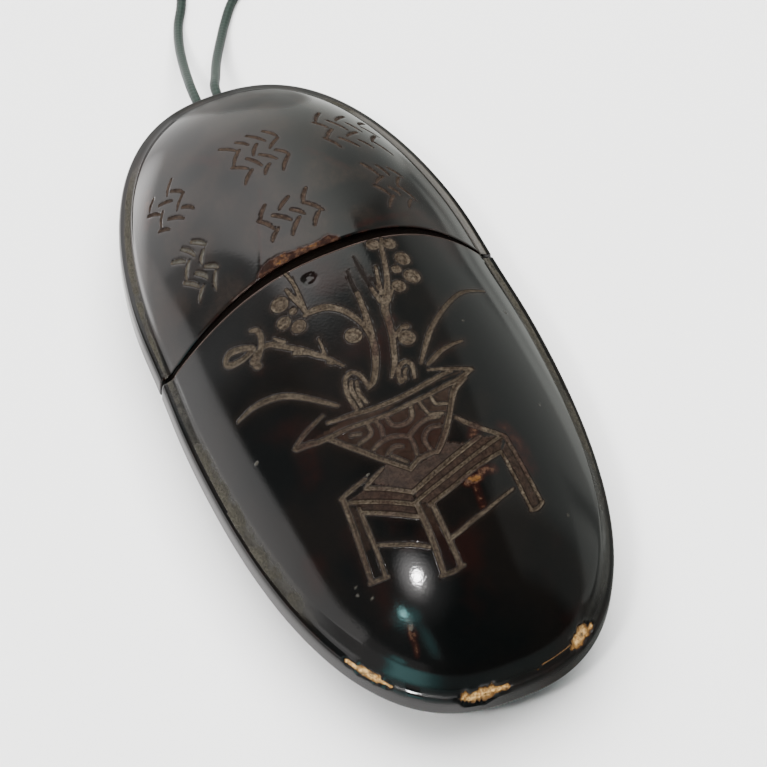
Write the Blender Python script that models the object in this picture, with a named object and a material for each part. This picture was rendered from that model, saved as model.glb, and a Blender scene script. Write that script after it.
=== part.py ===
"""A lacquered wooden seal case: a domed oval body, a slip-on lid and a looped silk cord.

The case lies on its back. +Y points to the lid's end, +X to the right, and +Z up through the carved
front. The origin is on the surface that the case lies on, under the middle of the case. Metres.
"""
from math import cos, pi, radians, sin

import bmesh
import bpy
import numpy as np
from mathutils import Matrix, Vector

# The oval case
LENGTH = 0.090
WIDTH = 0.045
FRONT_RISE = 0.0146
BAND_HEIGHT = 0.0033
BACK_DEPTH = 0.0080
LID_END_POWER = 2.42
BODY_END_POWER = 2.54
END_FULLNESS = 0.7
BACK_FLAT = 0.36

# The sharp rim and the cove between it and the dome
LEDGE = 0.0017
LEDGE_RISE = 0.0010
END_COVE_RISE = 0.0018
RIM_ROUND = 0.00015
BACK_EDGE = 0.0006

# Lid, body and the lip that the lid slips over
LID_LENGTH = 0.0358
LID_PROUD = 0.0003
SEAM_GAP = 0.0004
SEAM_SKEW = radians(2)
LID_LEAN = radians(2.5)
SEAM_PINCH = 0.0004
PINCH_REACH = 0.0070
WALL = 0.0022
SOCKET_WALL = 0.00115
FIT = 0.0003
LIP_LENGTH = 0.0045

# The carving, set out on a grid of squares that measure a millimetre on the real case
LINE_WIDTH = 0.0007
LINE_DEPTH = 0.0004
GRID_ACROSS = 45
GRID_ON_BODY = 54.2
GRID_ON_LID = 35.8

# The cord, its two holes in the lid's end and the coil that it is put away in
CORD_DIAMETER = 0.0012
HOLE_SPACING = 0.0026
HOLE_SHIFT = -0.0005
HOLE_DROP = 0.0016
COIL_RADIUS = 0.0060
COIL_WIDE = 3
COIL_HIGH = 2
COIL_CENTRE = (0.0125, 0.0768)
TIE_DIAMETER = 0.0005
TOUCH = 0.0003

RIM_Z = BACK_DEPTH + BAND_HEIGHT
SEAM_Y = LENGTH / 2 - LID_LENGTH
BODY_LENGTH = LENGTH - LID_LENGTH
AROUND = 48


def clear_scene():
    for thing in list(bpy.data.objects):
        bpy.data.objects.remove(thing, do_unlink=True)


def new_collection(name, helper=False):
    collection = bpy.data.collections.new(name)
    bpy.context.scene.collection.children.link(collection)
    collection.hide_render = helper
    return collection


def finish(name, colour, roughness):
    material = bpy.data.materials.new(name)
    material.use_nodes = True
    shader = material.node_tree.nodes["Principled BSDF"]
    shader.inputs["Base Color"].default_value = (*colour, 1)
    shader.inputs["Roughness"].default_value = roughness
    shader.inputs["Metallic"].default_value = 0
    return material


def add_mesh(name, work, collection, material=None):
    """Turn the bmesh into an object of the collection, and into a wire helper if it has no finish."""
    bmesh.ops.recalc_face_normals(work, faces=work.faces)
    mesh = bpy.data.meshes.new(name)
    work.to_mesh(mesh)
    work.free()
    thing = bpy.data.objects.new(name, mesh)
    collection.objects.link(thing)
    if material:
        mesh.materials.append(material)
    else:
        thing.hide_render = True
        thing.display_type = "WIRE"
    return thing


# The form of the case


def oval(inset):
    """A ring of plan points on |x/a|^n + |y/b|^n = 1, drawn in by inset and blunter at the body's end."""
    angle = np.linspace(0, 2 * pi, AROUND, endpoint=False)
    across, along = np.cos(angle), np.sin(angle)
    power = np.where(along > 0, LID_END_POWER, BODY_END_POWER)
    reach = (np.abs(across) ** power + np.abs(along) ** power) ** (-1 / power)
    return (WIDTH / 2 - inset) * across * reach, (LENGTH / 2 - inset) * along * reach


def shares(x, y, inset):
    """How far in from the drawn-in outline a point is (0 to 1), the ends' part of it, and the power."""
    power = np.where(y > 0, LID_END_POWER, BODY_END_POWER)
    side = np.abs(x / (WIDTH / 2 - inset)) ** power
    end = np.abs(y / (LENGTH / 2 - inset)) ** power
    return 1 - side - end, end, power


def toward_body_end(y):
    """0 up to the seam, rising smoothly to 1 at the body's end."""
    way = np.clip((SEAM_Y - y) / BODY_LENGTH, 0, 1)
    return way * way * (3 - 2 * way)


def dome_foot(y):
    return LEDGE_RISE + END_COVE_RISE * toward_body_end(y)


def front_height(x, y, skin=0, proud=0):
    """Height over the rim of the front dome, or of the same dome a skin further in."""
    inside, end, _ = shares(x, y, LEDGE + skin)
    foot = dome_foot(y) - skin
    return foot + (FRONT_RISE + proud - skin - foot) * inside * (1 + END_FULLNESS * end)


def back_height(x, y, inset, skin=0):
    """Height under the rim of the shallow back, with its flat spot in the middle."""
    inside, _, power = shares(x, y, inset)
    share = np.clip(inside / (1 - BACK_FLAT ** power), 0, 1)
    return -BAND_HEIGHT - (BACK_DEPTH - skin) * share


def ring(x, y, height):
    """Points of one ring in the case's frame, with the sides drawn in a little beside the seam."""
    pinch = 2 * SEAM_PINCH / WIDTH * np.exp(-(((y - SEAM_Y) / PINCH_REACH) ** 2))
    return np.stack([x * (1 - pinch), y, RIM_Z + height * np.ones_like(x)], axis=1)


def front_rings(skin, proud, steps):
    for reach in steps:
        x, y = (reach * side for side in oval(LEDGE + skin))
        yield ring(x, y, front_height(x, y, skin, proud))


def back_rings(inset, skin, steps):
    for reach in steps:
        x, y = (reach * side for side in oval(inset))
        yield ring(x, y, back_height(x, y, inset, skin))


def cove_rings(steps):
    """A hollow quarter round from the dome's foot out to the rim, slacker at the body's end."""
    for way in steps:
        x, y = oval(LEDGE * (1 - way))
        power = 2 - 0.7 * toward_body_end(y)
        yield ring(x, y, dome_foot(y) * (1 - (1 - (1 - way) ** power) ** (1 / power)))


def outer_form(name, proud, collection, material=None):
    rings = list(front_rings(0, proud, (0.12, 0.3, 0.48, 0.64, 0.77, 0.88, 0.95, 1)))
    rings += cove_rings((0.12, 0.5))
    rings.append(ring(*oval(RIM_ROUND), 0))
    rings.append(ring(*oval(0), -RIM_ROUND))
    rings.append(ring(*oval(0), BACK_EDGE / 2 - BAND_HEIGHT))
    rings += back_rings(BACK_EDGE, 0, (1, 0.86, 0.64, BACK_FLAT))
    return lofted(name, rings, collection, material)


def inner_form(name, skin, collection):
    """The same form a skin further in, as a helper for the hollow, the socket and the lip."""
    rings = list(front_rings(skin, 0, (0.2, 0.5, 0.75, 0.92, 1)))
    rings += back_rings(LEDGE + skin, skin, (1, 0.75, BACK_FLAT))
    return lofted(name, rings, collection)


def lofted(name, rings, collection, material=None):
    """Skin equal rings, given from top to bottom, into one closed body with a cap at each end."""
    work = bmesh.new()
    rows = [[work.verts.new(point) for point in points] for points in rings]
    for upper, lower in zip(rows, rows[1:]):
        for here in range(AROUND):
            after = (here + 1) % AROUND
            work.faces.new((upper[here], lower[here], lower[after], upper[after]))
    work.faces.new(rows[0])
    flat_spot = work.faces.new(reversed(rows[-1]))
    bmesh.ops.triangulate(work, faces=[face for face in work.faces if face is not flat_spot])
    return add_mesh(name, work, collection, material)


# Cutting the form into body and lid


def slab(name, start, end, lean, collection):
    """A block between two planes across the case, square to the seam and turned about the rim's height."""
    size = 2 * (LENGTH + WIDTH)
    work = bmesh.new()
    place = (
        Matrix.Translation((0, start, RIM_Z))
        @ Matrix.Rotation(SEAM_SKEW, 4, "Z")
        @ Matrix.Rotation(-lean, 4, "X")
        @ Matrix.Translation((0, (end - start) / 2, 0))
        @ Matrix.Diagonal((size, abs(end - start), size, 1))
    )
    bmesh.ops.create_cube(work, size=1, matrix=place)
    return add_mesh(name, work, collection)


def combine(thing, operation, other):
    modifier = thing.modifiers.new(other.name, "BOOLEAN")
    modifier.operation = operation
    modifier.solver = "EXACT"
    if isinstance(other, bpy.types.Collection):
        modifier.operand_type = "COLLECTION"
        modifier.collection = other
    else:
        modifier.object = other


def cord_hole(name, x, collection):
    start = LENGTH / 2 - LEDGE - WALL - 2 * FIT
    end = LENGTH / 2 + CORD_DIAMETER
    work = bmesh.new()
    place = Matrix.Translation((x, (start + end) / 2, RIM_Z - HOLE_DROP)) @ Matrix.Rotation(pi / 2, 4, "X")
    radius = CORD_DIAMETER / 2 + FIT
    bmesh.ops.create_cone(
        work, cap_ends=True, segments=16, radius1=radius, radius2=radius, depth=end - start, matrix=place
    )
    return add_mesh(name, work, collection)


# Carving: strokes are grooves swept over the dome, drawn as arcs on the grid


def on_body(x, down):
    """A grid point of the body: x squares right of the middle, down squares from the seam."""
    return x * WIDTH / GRID_ACROSS, SEAM_Y - down * BODY_LENGTH / GRID_ON_BODY


def on_lid(x, up):
    """A grid point of the lid: x squares right of the middle, up squares from the seam."""
    return x * WIDTH / GRID_ACROSS, SEAM_Y + up * LID_LENGTH / GRID_ON_LID


def arc(start, end, bow=0.0, width=1.0, tip=0.6):
    """Grid points of a stroke bowed to its left by bow times its length, with its widths narrowing to tip."""
    (x0, y0), (x1, y1) = start, end
    steps = 1 if bow == 0 else 3
    points = []
    for step in range(steps + 1):
        way = step / steps
        side = 4 * bow * way * (1 - way)
        points.append((x0 + (x1 - x0) * way + (y1 - y0) * side, y0 + (y1 - y0) * way - (x1 - x0) * side))
    waist = [width * (tip + (1 - tip) * sin(pi * (0.12 + 0.76 * step / steps))) for step in range(steps + 1)]
    return points, waist


def surface_point(x, y, proud):
    """Where a plan point lies on the front, and the way that the front faces there."""
    step = WIDTH / 500
    height = float(front_height(x, y, 0, proud))
    slope_x = (float(front_height(x + step, y, 0, proud)) - height) / step
    slope_y = (float(front_height(x, y + step, 0, proud)) - height) / step
    here = ring(np.array([x]), np.array([y]), np.array([height]))[0]
    return Vector(here), Vector((-slope_x, -slope_y, 1)).normalized()


def groove(name, stroke, place, proud, collection):
    """A closed bar whose lower half lies in the wood: narrower below, and square at both ends."""
    points, widths = stroke
    spots = [surface_point(*place(*point), proud) for point in points]
    work = bmesh.new()
    rows = []
    for step, ((spot, normal), width) in enumerate(zip(spots, widths)):
        before = spots[max(step - 1, 0)][0]
        after = spots[min(step + 1, len(spots) - 1)][0]
        side = (after - before).normalized().cross(normal).normalized() * LINE_WIDTH * width
        rise = normal * LINE_DEPTH
        section = (-0.7 * side + rise, 0.7 * side + rise, 0.25 * side - rise, -0.25 * side - rise)
        rows.append([work.verts.new(spot + corner) for corner in section])
    for here, after in zip(rows, rows[1:]):
        for corner in range(4):
            beside = (corner + 1) % 4
            work.faces.new((here[corner], here[beside], after[beside], after[corner]))
    work.faces.new(rows[0])
    work.faces.new(reversed(rows[-1]))
    bmesh.ops.triangulate(work, faces=work.faces)
    return add_mesh(name, work, collection)


def pit(name, spot, radius, place, proud, collection):
    """A shallow round hollow, such as a flower bud, as a short cone that faces the way the dome does."""
    here, normal = surface_point(*place(*spot), proud)
    work = bmesh.new()
    bmesh.ops.create_cone(
        work,
        cap_ends=True,
        segments=8,
        radius1=0.75 * radius * WIDTH / GRID_ACROSS,
        radius2=1.1 * radius * WIDTH / GRID_ACROSS,
        depth=2 * LINE_DEPTH,
        matrix=Matrix.Translation(here) @ normal.to_track_quat("Z", "Y").to_matrix().to_4x4(),
    )
    return add_mesh(name, work, collection)


def pot_strokes():
    """A shallow planting bowl: a pointed rim, two sloping sides, a foot and rows of scales between."""
    left, right = -9.5, 7.0
    top, foot = 22.0, 30.0
    yield arc((-9.8, 20.3), (8.7, 20.4))
    yield arc((-12.6, 21.9), (8.6, 21.0), 0.012)
    yield arc((-13.8, 21.2), (-9.4, 19.3), 0.06, 1.6, 0.3)
    yield arc((3.9, 19.3), (8.8, 20.3), 0, 0.8)
    yield arc((8.8, 20.3), (5.7, 22.1), 0, 1.3, 0.4)
    yield arc((left, top), (-3.4, foot + 0.3), -0.04)
    yield arc((right, top), (0.6, foot - 0.2), 0.04)
    yield arc((-3.4, foot + 0.3), (0.6, foot - 0.2))
    for row, scales in enumerate((4, 3, 2)):
        down = top + 2.9 + 2.3 * row
        narrowing = (down - top) / (foot - top)
        start = left + 6.1 * narrowing
        pitch = (right - 6.4 * narrowing - start) / scales
        for scale in range(scales):
            yield arc((start + pitch * scale, down), (start + pitch * (scale + 1), down), 0.38, 0.7, 0.8)


def table_strokes():
    """A low table seen from one corner: the top's edges, an apron under them, three legs and two rails."""
    left, corner, right = (-11.4, 29.3), (-4.5, 34.1), (8.5, 29.8)
    outline = [(-6.2, 28.9), left, corner, right, (4.6, 26.4)]
    inner = [(-8.6, 29.8), (-4.2, 32.6), (5.5, 29.6)]
    apron = [(-10.0, 32.3), (-4.8, 35.9), (-3.1, 35.5), (7.3, 31.8)]
    for run in (outline, inner, apron[:2], apron[2:]):
        for start, end in zip(run, run[1:]):
            yield arc(start, end, 0, 1.0, 0.9)
    legs = (
        (left, apron[0], (-12.2, 39.5), (-10.2, 39.9)),
        (corner, apron[2], (-5.0, 42.8), (-2.3, 42.8)),
        (right, apron[3], (9.8, 38.4), (7.8, 39.2)),
    )
    for outer, inside, outer_foot, inner_foot in legs:
        yield arc(outer, outer_foot, 0, 1.0, 0.9)
        yield arc(inside, inner_foot, 0, 0.8, 0.9)
        yield arc(outer_foot, inner_foot, 0, 1.2, 0.9)
    yield arc((-10.0, 36.6), (-5.1, 39.8), 0, 0.7)
    yield arc((-2.5, 39.4), (6.8, 36.5), 0, 0.6)


def plant_strokes():
    """Stems, grass blades and one open flower that rise from the bowl, each a bowed stroke."""
    yield arc((-5.0, 21.0), (-5.4, 17.0), -0.15, 1.2)
    yield arc((-5.4, 17.0), (-2.6, 18.6), 0.35, 1.2)
    yield arc((-2.0, 17.6), (-0.2, 11.0), -0.10, 1.3)
    yield arc((-0.2, 11.0), (0.7, 3.7), -0.02, 0.8, 0.3)
    yield arc((-6.4, 6.8), (-0.4, 12.2), 0.26, 1.5, 0.5)
    yield arc((-6.2, 6.6), (-6.0, 0.8), 0.04, 0.8, 0.3)
    yield arc((6.9, 0.7), (2.9, 8.7), 0.05, 1.2)
    yield arc((2.9, 8.7), (-0.4, 18.4), 0.04, 1.2)
    yield arc((3.9, 3.6), (3.4, 7.4), -0.05, 1.0, 0.4)
    yield arc((2.0, 2.2), (2.6, 8.9), 0.05, 0.7, 0.3)
    yield arc((3.5, 12.6), (1.5, 14.4), 0.10, 0.8)
    yield arc((-0.4, 18.4), (2.0, 18.2), 0.40, 0.8)
    yield arc((16.5, 7.7), (3.5, 18.0), 0.12, 0.9, 0.3)
    yield arc((9.5, 16.2), (4.4, 18.3), 0.06, 1.2, 0.3)
    yield arc((-17.1, 12.8), (-7.4, 20.0), 0.14, 1.0, 0.3)
    yield arc((-11.3, 7.2), (-5.0, 15.2), 0.04, 1.0, 0.4)
    yield arc((-6.2, 10.4), (-6.0, 13.2), -0.05, 0.7, 0.3)
    yield arc((-16.4, 5.4), (-11.9, 6.2), 0.16, 1.0)
    yield arc((-16.4, 5.4), (-12.4, 8.0), -0.20, 1.0)
    yield arc((-12.4, 4.6), (-11.6, 7.8), 0.32, 1.1)
    yield arc((-11.6, 7.8), (-14.0, 9.0), 0.25, 1.0)


def buds():
    """Grid places and radii of the round buds."""
    yield from (((-7.9, 3.7), 0.95), ((-7.1, 5.4), 0.5), ((-8.6, 6.3), 0.75), ((-7.3, 7.5), 0.85))
    yield from (((-3.9, 2.7), 0.9), ((-2.3, 11.9), 1.0), ((4.9, 0.95), 0.75), ((7.4, 3.3), 0.9))
    yield from (((6.2, 5.0), 0.6), ((7.7, 6.3), 1.0), ((5.4, 7.4), 0.8), ((3.6, 14.9), 0.9), ((0.2, 19.2), 0.5))


def written_places():
    """Centres, widths and heights of the six small blocks of marks on the lid, in two rows of three."""
    yield from (((-13.2, 18.0), 4.6, 6.4), ((-2.0, 17.2), 6.6, 7.0), ((10.4, 18.4), 8.0, 6.8))
    yield from (((-13.9, 7.2), 3.6, 7.2), ((-2.4, 6.6), 7.6, 5.6), ((11.4, 8.0), 4.8, 6.8))


def mark_strokes():
    """Short slanting strokes in four rows a block. Their number and slant go by the row, and spell nothing."""
    for block, ((x, up), wide, high) in enumerate(written_places()):
        for row in range(4):
            count = 1 + (row + block) % 3
            slant = radians((20, 65, -35)[(2 * row + block) % 3])
            middle = up + high * (0.375 - row / 4)
            length = min(0.72 * wide / count, 0.42 * high)
            for place in range(count):
                across = x + wide * ((place + 0.5) / count - 0.5)
                reach = (0.5 * length * cos(slant), 0.32 * length * sin(slant))
                start = (across - reach[0], middle - reach[1])
                end = (across + reach[0], middle + reach[1])
                yield arc(start, end, 0, 0.75, 0.5)


# The cord


def smooth_route(points, spacing):
    """Points about spacing apart on a smooth curve through the route's own points."""
    route = [Vector(point) for point in points]
    route = [2 * route[0] - route[1], *route, 2 * route[-1] - route[-2]]
    curve = []
    for before, start, end, after in zip(route, route[1:], route[2:], route[3:]):
        pieces = max(1, round((end - start).length / spacing))
        for piece in range(pieces):
            t = piece / pieces
            curve.append(
                0.5
                * (
                    2 * start
                    + (end - before) * t
                    + (2 * before - 5 * start + 4 * end - after) * t**2
                    + (3 * start - before - 3 * end + after) * t**3
                )
            )
    return curve + [route[-2]]


def cord_strand(name, points, collection, material):
    data = bpy.data.curves.new(name, "CURVE")
    data.dimensions = "3D"
    data.bevel_depth = CORD_DIAMETER / 2
    data.bevel_resolution = 2
    data.use_fill_caps = True
    curve = smooth_route(points, 2.5 * CORD_DIAMETER)
    spline = data.splines.new("POLY")
    spline.points.add(len(curve) - 1)
    for spot, point in zip(spline.points, curve):
        spot.co = (*point, 1)
    data.materials.append(material)
    collection.objects.link(bpy.data.objects.new(name, data))


def torus(name, major, minor, segments, stretch, place, collection, material):
    """A closed ring, stretched along its own axes before it is put in its place."""
    around, through = segments
    bpy.ops.mesh.primitive_torus_add(
        major_radius=major, minor_radius=minor, major_segments=around, minor_segments=through
    )
    thing = bpy.context.object
    thing.name = name
    thing.data.name = name
    for holder in list(thing.users_collection):
        holder.objects.unlink(thing)
    collection.objects.link(thing)
    thing.data.transform(place @ Matrix.Diagonal((*stretch, 1)))
    thing.data.materials.append(material)
    thing.data.shade_smooth()


def cord(collection, material):
    """Two strands out of the lid's end, down to the surface and on to a small tied coil, where they join."""
    x_left = HOLE_SHIFT - HOLE_SPACING / 2
    x_right = HOLE_SHIFT + HOLE_SPACING / 2
    end_y = LENGTH / 2
    hole_z = RIM_Z - HOLE_DROP
    inside_y = end_y - LEDGE - WALL + CORD_DIAMETER
    floor = CORD_DIAMETER / 2
    half_wide = COIL_WIDE * CORD_DIAMETER / 2
    half_high = COIL_HIGH * CORD_DIAMETER / 2
    coil_x, coil_y = COIL_CENTRE
    outside = COIL_RADIUS + half_wide + CORD_DIAMETER / 2 + TOUCH
    cord_strand(
        "cord_left",
        [
            (x_left, inside_y, hole_z),
            (x_left, end_y + 0.0008, hole_z),
            (-0.0013, end_y + 0.0040, RIM_Z - 0.0029),
            (0.0002, end_y + 0.0100, RIM_Z - 0.0065),
            (0.0018, end_y + 0.0152, 0.0020),
            (0.0034, end_y + 0.0191, floor),
            (0.0050, end_y + 0.0219, floor),
            (0.0057, end_y + 0.0241, floor),
            (coil_x - 0.8 * outside, coil_y - 0.6 * outside, floor),
        ],
        collection,
        material,
    )
    cord_strand(
        "cord_right",
        [
            (x_right, inside_y, hole_z),
            (x_right, end_y + 0.0008, hole_z),
            (0.0018, end_y + 0.0034, RIM_Z - 0.0030),
            (0.0042, end_y + 0.0087, RIM_Z - 0.0067),
            (0.0067, end_y + 0.0133, 0.0019),
            (0.0089, end_y + 0.0169, floor),
            (0.0110, end_y + 0.0195, floor),
            (0.0140, end_y + 0.0221, floor),
            (coil_x + 0.6 * outside, coil_y - 0.8 * outside, floor),
        ],
        collection,
        material,
    )
    tie_clear = half_high + TOUCH + TIE_DIAMETER / 2
    lift = TIE_DIAMETER + TOUCH
    tilt = lift / (2 * COIL_RADIUS)
    centre = Matrix.Translation((coil_x, coil_y, half_high + lift / 2)) @ Matrix.Rotation(tilt, 4, "X")
    torus(
        "cord_coil",
        COIL_RADIUS,
        half_wide,
        (28, 8),
        (1, 1, half_high / half_wide),
        centre,
        collection,
        material,
    )
    tie_wide = half_wide + TOUCH + TIE_DIAMETER / 2
    torus(
        "cord_tie",
        tie_wide,
        TIE_DIAMETER / 2,
        (20, 6),
        (tie_clear / tie_wide, 1, 1),
        centre @ Matrix.Translation((0, COIL_RADIUS, 0)) @ Matrix.Rotation(pi / 2, 4, "Y"),
        collection,
        material,
    )


def build():
    clear_scene()
    parts = new_collection("seal_case")
    cutters = new_collection("seal_case_cutters", helper=True)
    body_carving = new_collection("body_carving", helper=True)
    lid_carving = new_collection("lid_carving", helper=True)
    lacquer = finish("black_brown_lacquer", (0.022, 0.012, 0.009), 0.18)
    silk = finish("teal_silk", (0.09, 0.15, 0.13), 0.6)

    far = LENGTH + WIDTH
    hollow = inner_form("hollow", WALL, cutters)
    lip = inner_form("lip", SOCKET_WALL + FIT, cutters)
    combine(lip, "INTERSECT", slab("lip_slab", SEAM_Y - LIP_LENGTH, SEAM_Y + LIP_LENGTH, 0, cutters))
    socket = inner_form("socket", SOCKET_WALL, cutters)
    combine(socket, "INTERSECT", slab("socket_slab", SEAM_Y - LIP_LENGTH, SEAM_Y + LIP_LENGTH + SEAM_GAP, 0, cutters))

    body = outer_form("case_body", 0, parts, lacquer)
    combine(body, "INTERSECT", slab("body_slab", SEAM_Y, SEAM_Y - far, 0, cutters))
    combine(body, "UNION", lip)
    combine(body, "DIFFERENCE", hollow)
    strokes = [*pot_strokes(), *table_strokes(), *plant_strokes()]
    for number, stroke in enumerate(strokes):
        groove(f"body_stroke_{number}", stroke, on_body, 0, body_carving)
    for number, (spot, radius) in enumerate(buds()):
        pit(f"bud_{number}", spot, radius, on_body, 0, body_carving)
    combine(body, "DIFFERENCE", body_carving)

    lid = outer_form("lid", LID_PROUD, parts, lacquer)
    combine(lid, "INTERSECT", slab("lid_slab", SEAM_Y + SEAM_GAP, SEAM_Y + far, 0, cutters))
    combine(lid, "INTERSECT", slab("lid_lean_slab", SEAM_Y + SEAM_GAP, SEAM_Y + far, LID_LEAN, cutters))
    combine(lid, "DIFFERENCE", socket)
    combine(lid, "DIFFERENCE", hollow)
    for side in (-1, 1):
        combine(lid, "DIFFERENCE", cord_hole(f"cord_hole_{side}", HOLE_SHIFT + side * HOLE_SPACING / 2, cutters))
    for number, stroke in enumerate(mark_strokes()):
        groove(f"lid_stroke_{number}", stroke, on_lid, LID_PROUD, lid_carving)
    combine(lid, "DIFFERENCE", lid_carving)

    cord(parts, silk)


build()
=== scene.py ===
"""The looks of the seal case: a carved and lacquered wooden case with a slip-on lid and a silk cord.

Lengths are in millimetres up to the meshes. The case lies on its back, with its lid's end toward +y.
"""
from math import pi, radians, tan

import bpy
import numpy as np
from mathutils import Matrix, Vector


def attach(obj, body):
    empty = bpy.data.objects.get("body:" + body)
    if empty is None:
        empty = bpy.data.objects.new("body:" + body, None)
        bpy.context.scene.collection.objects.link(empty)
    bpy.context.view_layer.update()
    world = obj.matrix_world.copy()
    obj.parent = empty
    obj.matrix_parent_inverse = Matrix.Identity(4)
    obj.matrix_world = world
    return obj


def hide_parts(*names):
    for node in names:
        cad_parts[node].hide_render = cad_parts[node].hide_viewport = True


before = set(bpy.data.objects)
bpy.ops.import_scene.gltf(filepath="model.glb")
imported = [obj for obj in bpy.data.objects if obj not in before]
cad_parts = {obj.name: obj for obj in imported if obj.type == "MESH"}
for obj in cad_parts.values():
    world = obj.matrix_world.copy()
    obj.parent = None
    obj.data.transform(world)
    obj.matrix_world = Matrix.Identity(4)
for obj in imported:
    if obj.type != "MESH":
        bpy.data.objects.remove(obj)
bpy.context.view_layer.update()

# The camera
# It looks down on the front of the case from the body's end, through a long lens and a little tilted. Its
# place and aim are told from the middle of the rim.
MM = 0.001
RIM_HEIGHT = 11.3
view_distance = 600
view_azimuth = radians(-26.4)
view_elevation = radians(57.5)
view_roll = radians(3)
view_turn = (
    Matrix.Rotation(view_azimuth, 4, "Z")
    @ Matrix.Rotation(pi / 2 - view_elevation, 4, "X")
    @ Matrix.Rotation(view_roll, 4, "Z")
)
rim_middle = Vector((0, 0, RIM_HEIGHT))
aim_right_of_middle = 2.74
aim_below_middle = 0.54
camera_data = bpy.data.cameras.new("camera")
camera_data.lens = 238.3
camera_data.sensor_width = 36
camera_data.clip_start = 0.01
camera_data.clip_end = 20
camera = bpy.data.objects.new("camera", camera_data)
camera_place = rim_middle + view_turn @ Vector((aim_right_of_middle, -aim_below_middle, view_distance))
camera.matrix_world = Matrix.Translation(camera_place * MM) @ view_turn
bpy.context.scene.collection.objects.link(camera)
bpy.context.scene.camera = camera

# The wooden form that the body and the lid are carved from
# An oval block of wood: a domed front, a cove round its foot, a sharp rim, an upright band and a shallow
# back. It is cut in two on a slight slant, and both halves are hollowed out, carved and lacquered.
WIDTH = 45
LENGTH = 90
BAND_HEIGHT = 3.3
BACK_DEPTH = 8
BACK_FLAT = 0.36
BACK_EDGE = 0.6
FRONT_RISE = 14.6
LID_END_POWER = 2.42
BODY_END_POWER = 2.54
END_FULLNESS = 0.7
LEDGE = 1.7
LEDGE_RISE = 1.0
END_COVE_RISE = 1.8
RIM_SLACK = 0.45
RIM_DROP = 1.7
WALL = 2.2
SEAM = 9.2
seam_slope = tan(radians(2))
seam_pinch = 0.4
pinch_reach = 7.0
SECTION_DROP = 2
CUT_REACH = 1.2


def end_power(y):
    """The power of the oval's outline, |x/a|^n + |y/b|^n = 1. It changes smoothly in the middle 24 mm."""
    way = np.clip(y / 24 + 0.5, 0, 1)
    return BODY_END_POWER + (LID_END_POWER - BODY_END_POWER) * way * way * (3 - 2 * way)


def toward_body_end(y):
    """0 up to the seam, and a smooth step to 1 at the body's end."""
    way = np.clip((SEAM - y) / (LENGTH / 2 + SEAM), 0, 1)
    return way * way * (3 - 2 * way)


def dome_foot(y):
    """Height over the rim of the line where the dome ends and the cove starts."""
    return LEDGE_RISE + END_COVE_RISE * toward_body_end(y)


def front_height(x, y, inset=LEDGE, rise=FRONT_RISE, foot=None):
    """Foot + (rise - foot)(1 - s - t)(1 + 0.7 t), where s and t are the outline's two terms."""
    power = end_power(y)
    side = np.abs(x / (WIDTH / 2 - inset)) ** power
    end = np.abs(y / (LENGTH / 2 - inset)) ** power
    foot = dome_foot(y) if foot is None else foot
    return foot + (rise - foot) * np.maximum(1 - side - end, 0) * (1 + END_FULLNESS * end)


def back_height(x, y, inset=BACK_EDGE, depth=BACK_DEPTH):
    """Under the rim, the band and then a bowl whose middle is flat."""
    power = end_power(y)
    inside = 1 - np.abs(x / (WIDTH / 2 - inset)) ** power - np.abs(y / (LENGTH / 2 - inset)) ** power
    return -BAND_HEIGHT - depth * np.clip(inside / (1 - BACK_FLAT**power), 0, 1)


def half_width(y, inset):
    """Half the width of the outline an inset further in: a (1 - |y/b|^n)^(1/n)."""
    power = end_power(y)
    share = np.abs(y / (LENGTH / 2 - inset)) ** power
    return (WIDTH / 2 - inset) * np.maximum(1 - share, 0) ** (1 / power)


class Half:
    """The body or the lid: its end's sign, the gap and the lean of its mouth, and its dome's extra height."""

    def __init__(self, end, gap, lean, proud):
        self.end, self.gap, self.lean, self.proud = end, gap, lean, proud

    def mouth(self, x, z):
        """The y of the mouth: the seam and the gap, and shares of x and of the height over the rim."""
        return SEAM + self.gap + x * seam_slope + np.maximum(z, 0) * self.lean

    def place(self, u, v, inset, height, rounds=6):
        """The square sheet u, v bent to half the oval, by x = u sqrt(1 - v^2/2) and y = v sqrt(1 - u^2/2).

        v is 0 at the mouth and 1 at the end, and u goes from -1 to 1 across. height gives z from x and y.
        The mouth's place depends on the height, so y is found in a few rounds.
        """
        across, along = u * np.sqrt(1 - v * v / 2), v * np.sqrt(1 - u * u / 2)
        spread = across / np.sqrt(np.maximum(1 - along**2, 1e-12))
        x = spread * WIDTH / 2
        y = np.full_like(x, SEAM)
        for _ in range(rounds):
            start = self.mouth(x, height(x, y))
            y = start + (self.end * (LENGTH / 2 - inset) - start) * along
            x = spread * half_width(y, inset)
        pinch = 2 * seam_pinch / WIDTH * np.exp(-(((y - SEAM) / pinch_reach) ** 2))
        return np.stack([x * (1 - pinch), y, RIM_HEIGHT + height(x, y)], axis=-1)

    def front(self, x, y):
        """The dome's height over the rim."""
        return front_height(x, y, LEDGE, FRONT_RISE + self.proud)


def cove(way, corner_power=2.0):
    """A hollow quarter round from the dome's foot to the rim, slacker toward the body's end."""

    def height(x, y):
        power = corner_power - 0.7 * toward_body_end(y)
        return dome_foot(y) * (1 - (1 - (1 - way) ** power) ** (1 / power))

    return height


def level(z):
    """The same height z everywhere."""
    return lambda x, y: z + 0 * x


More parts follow.
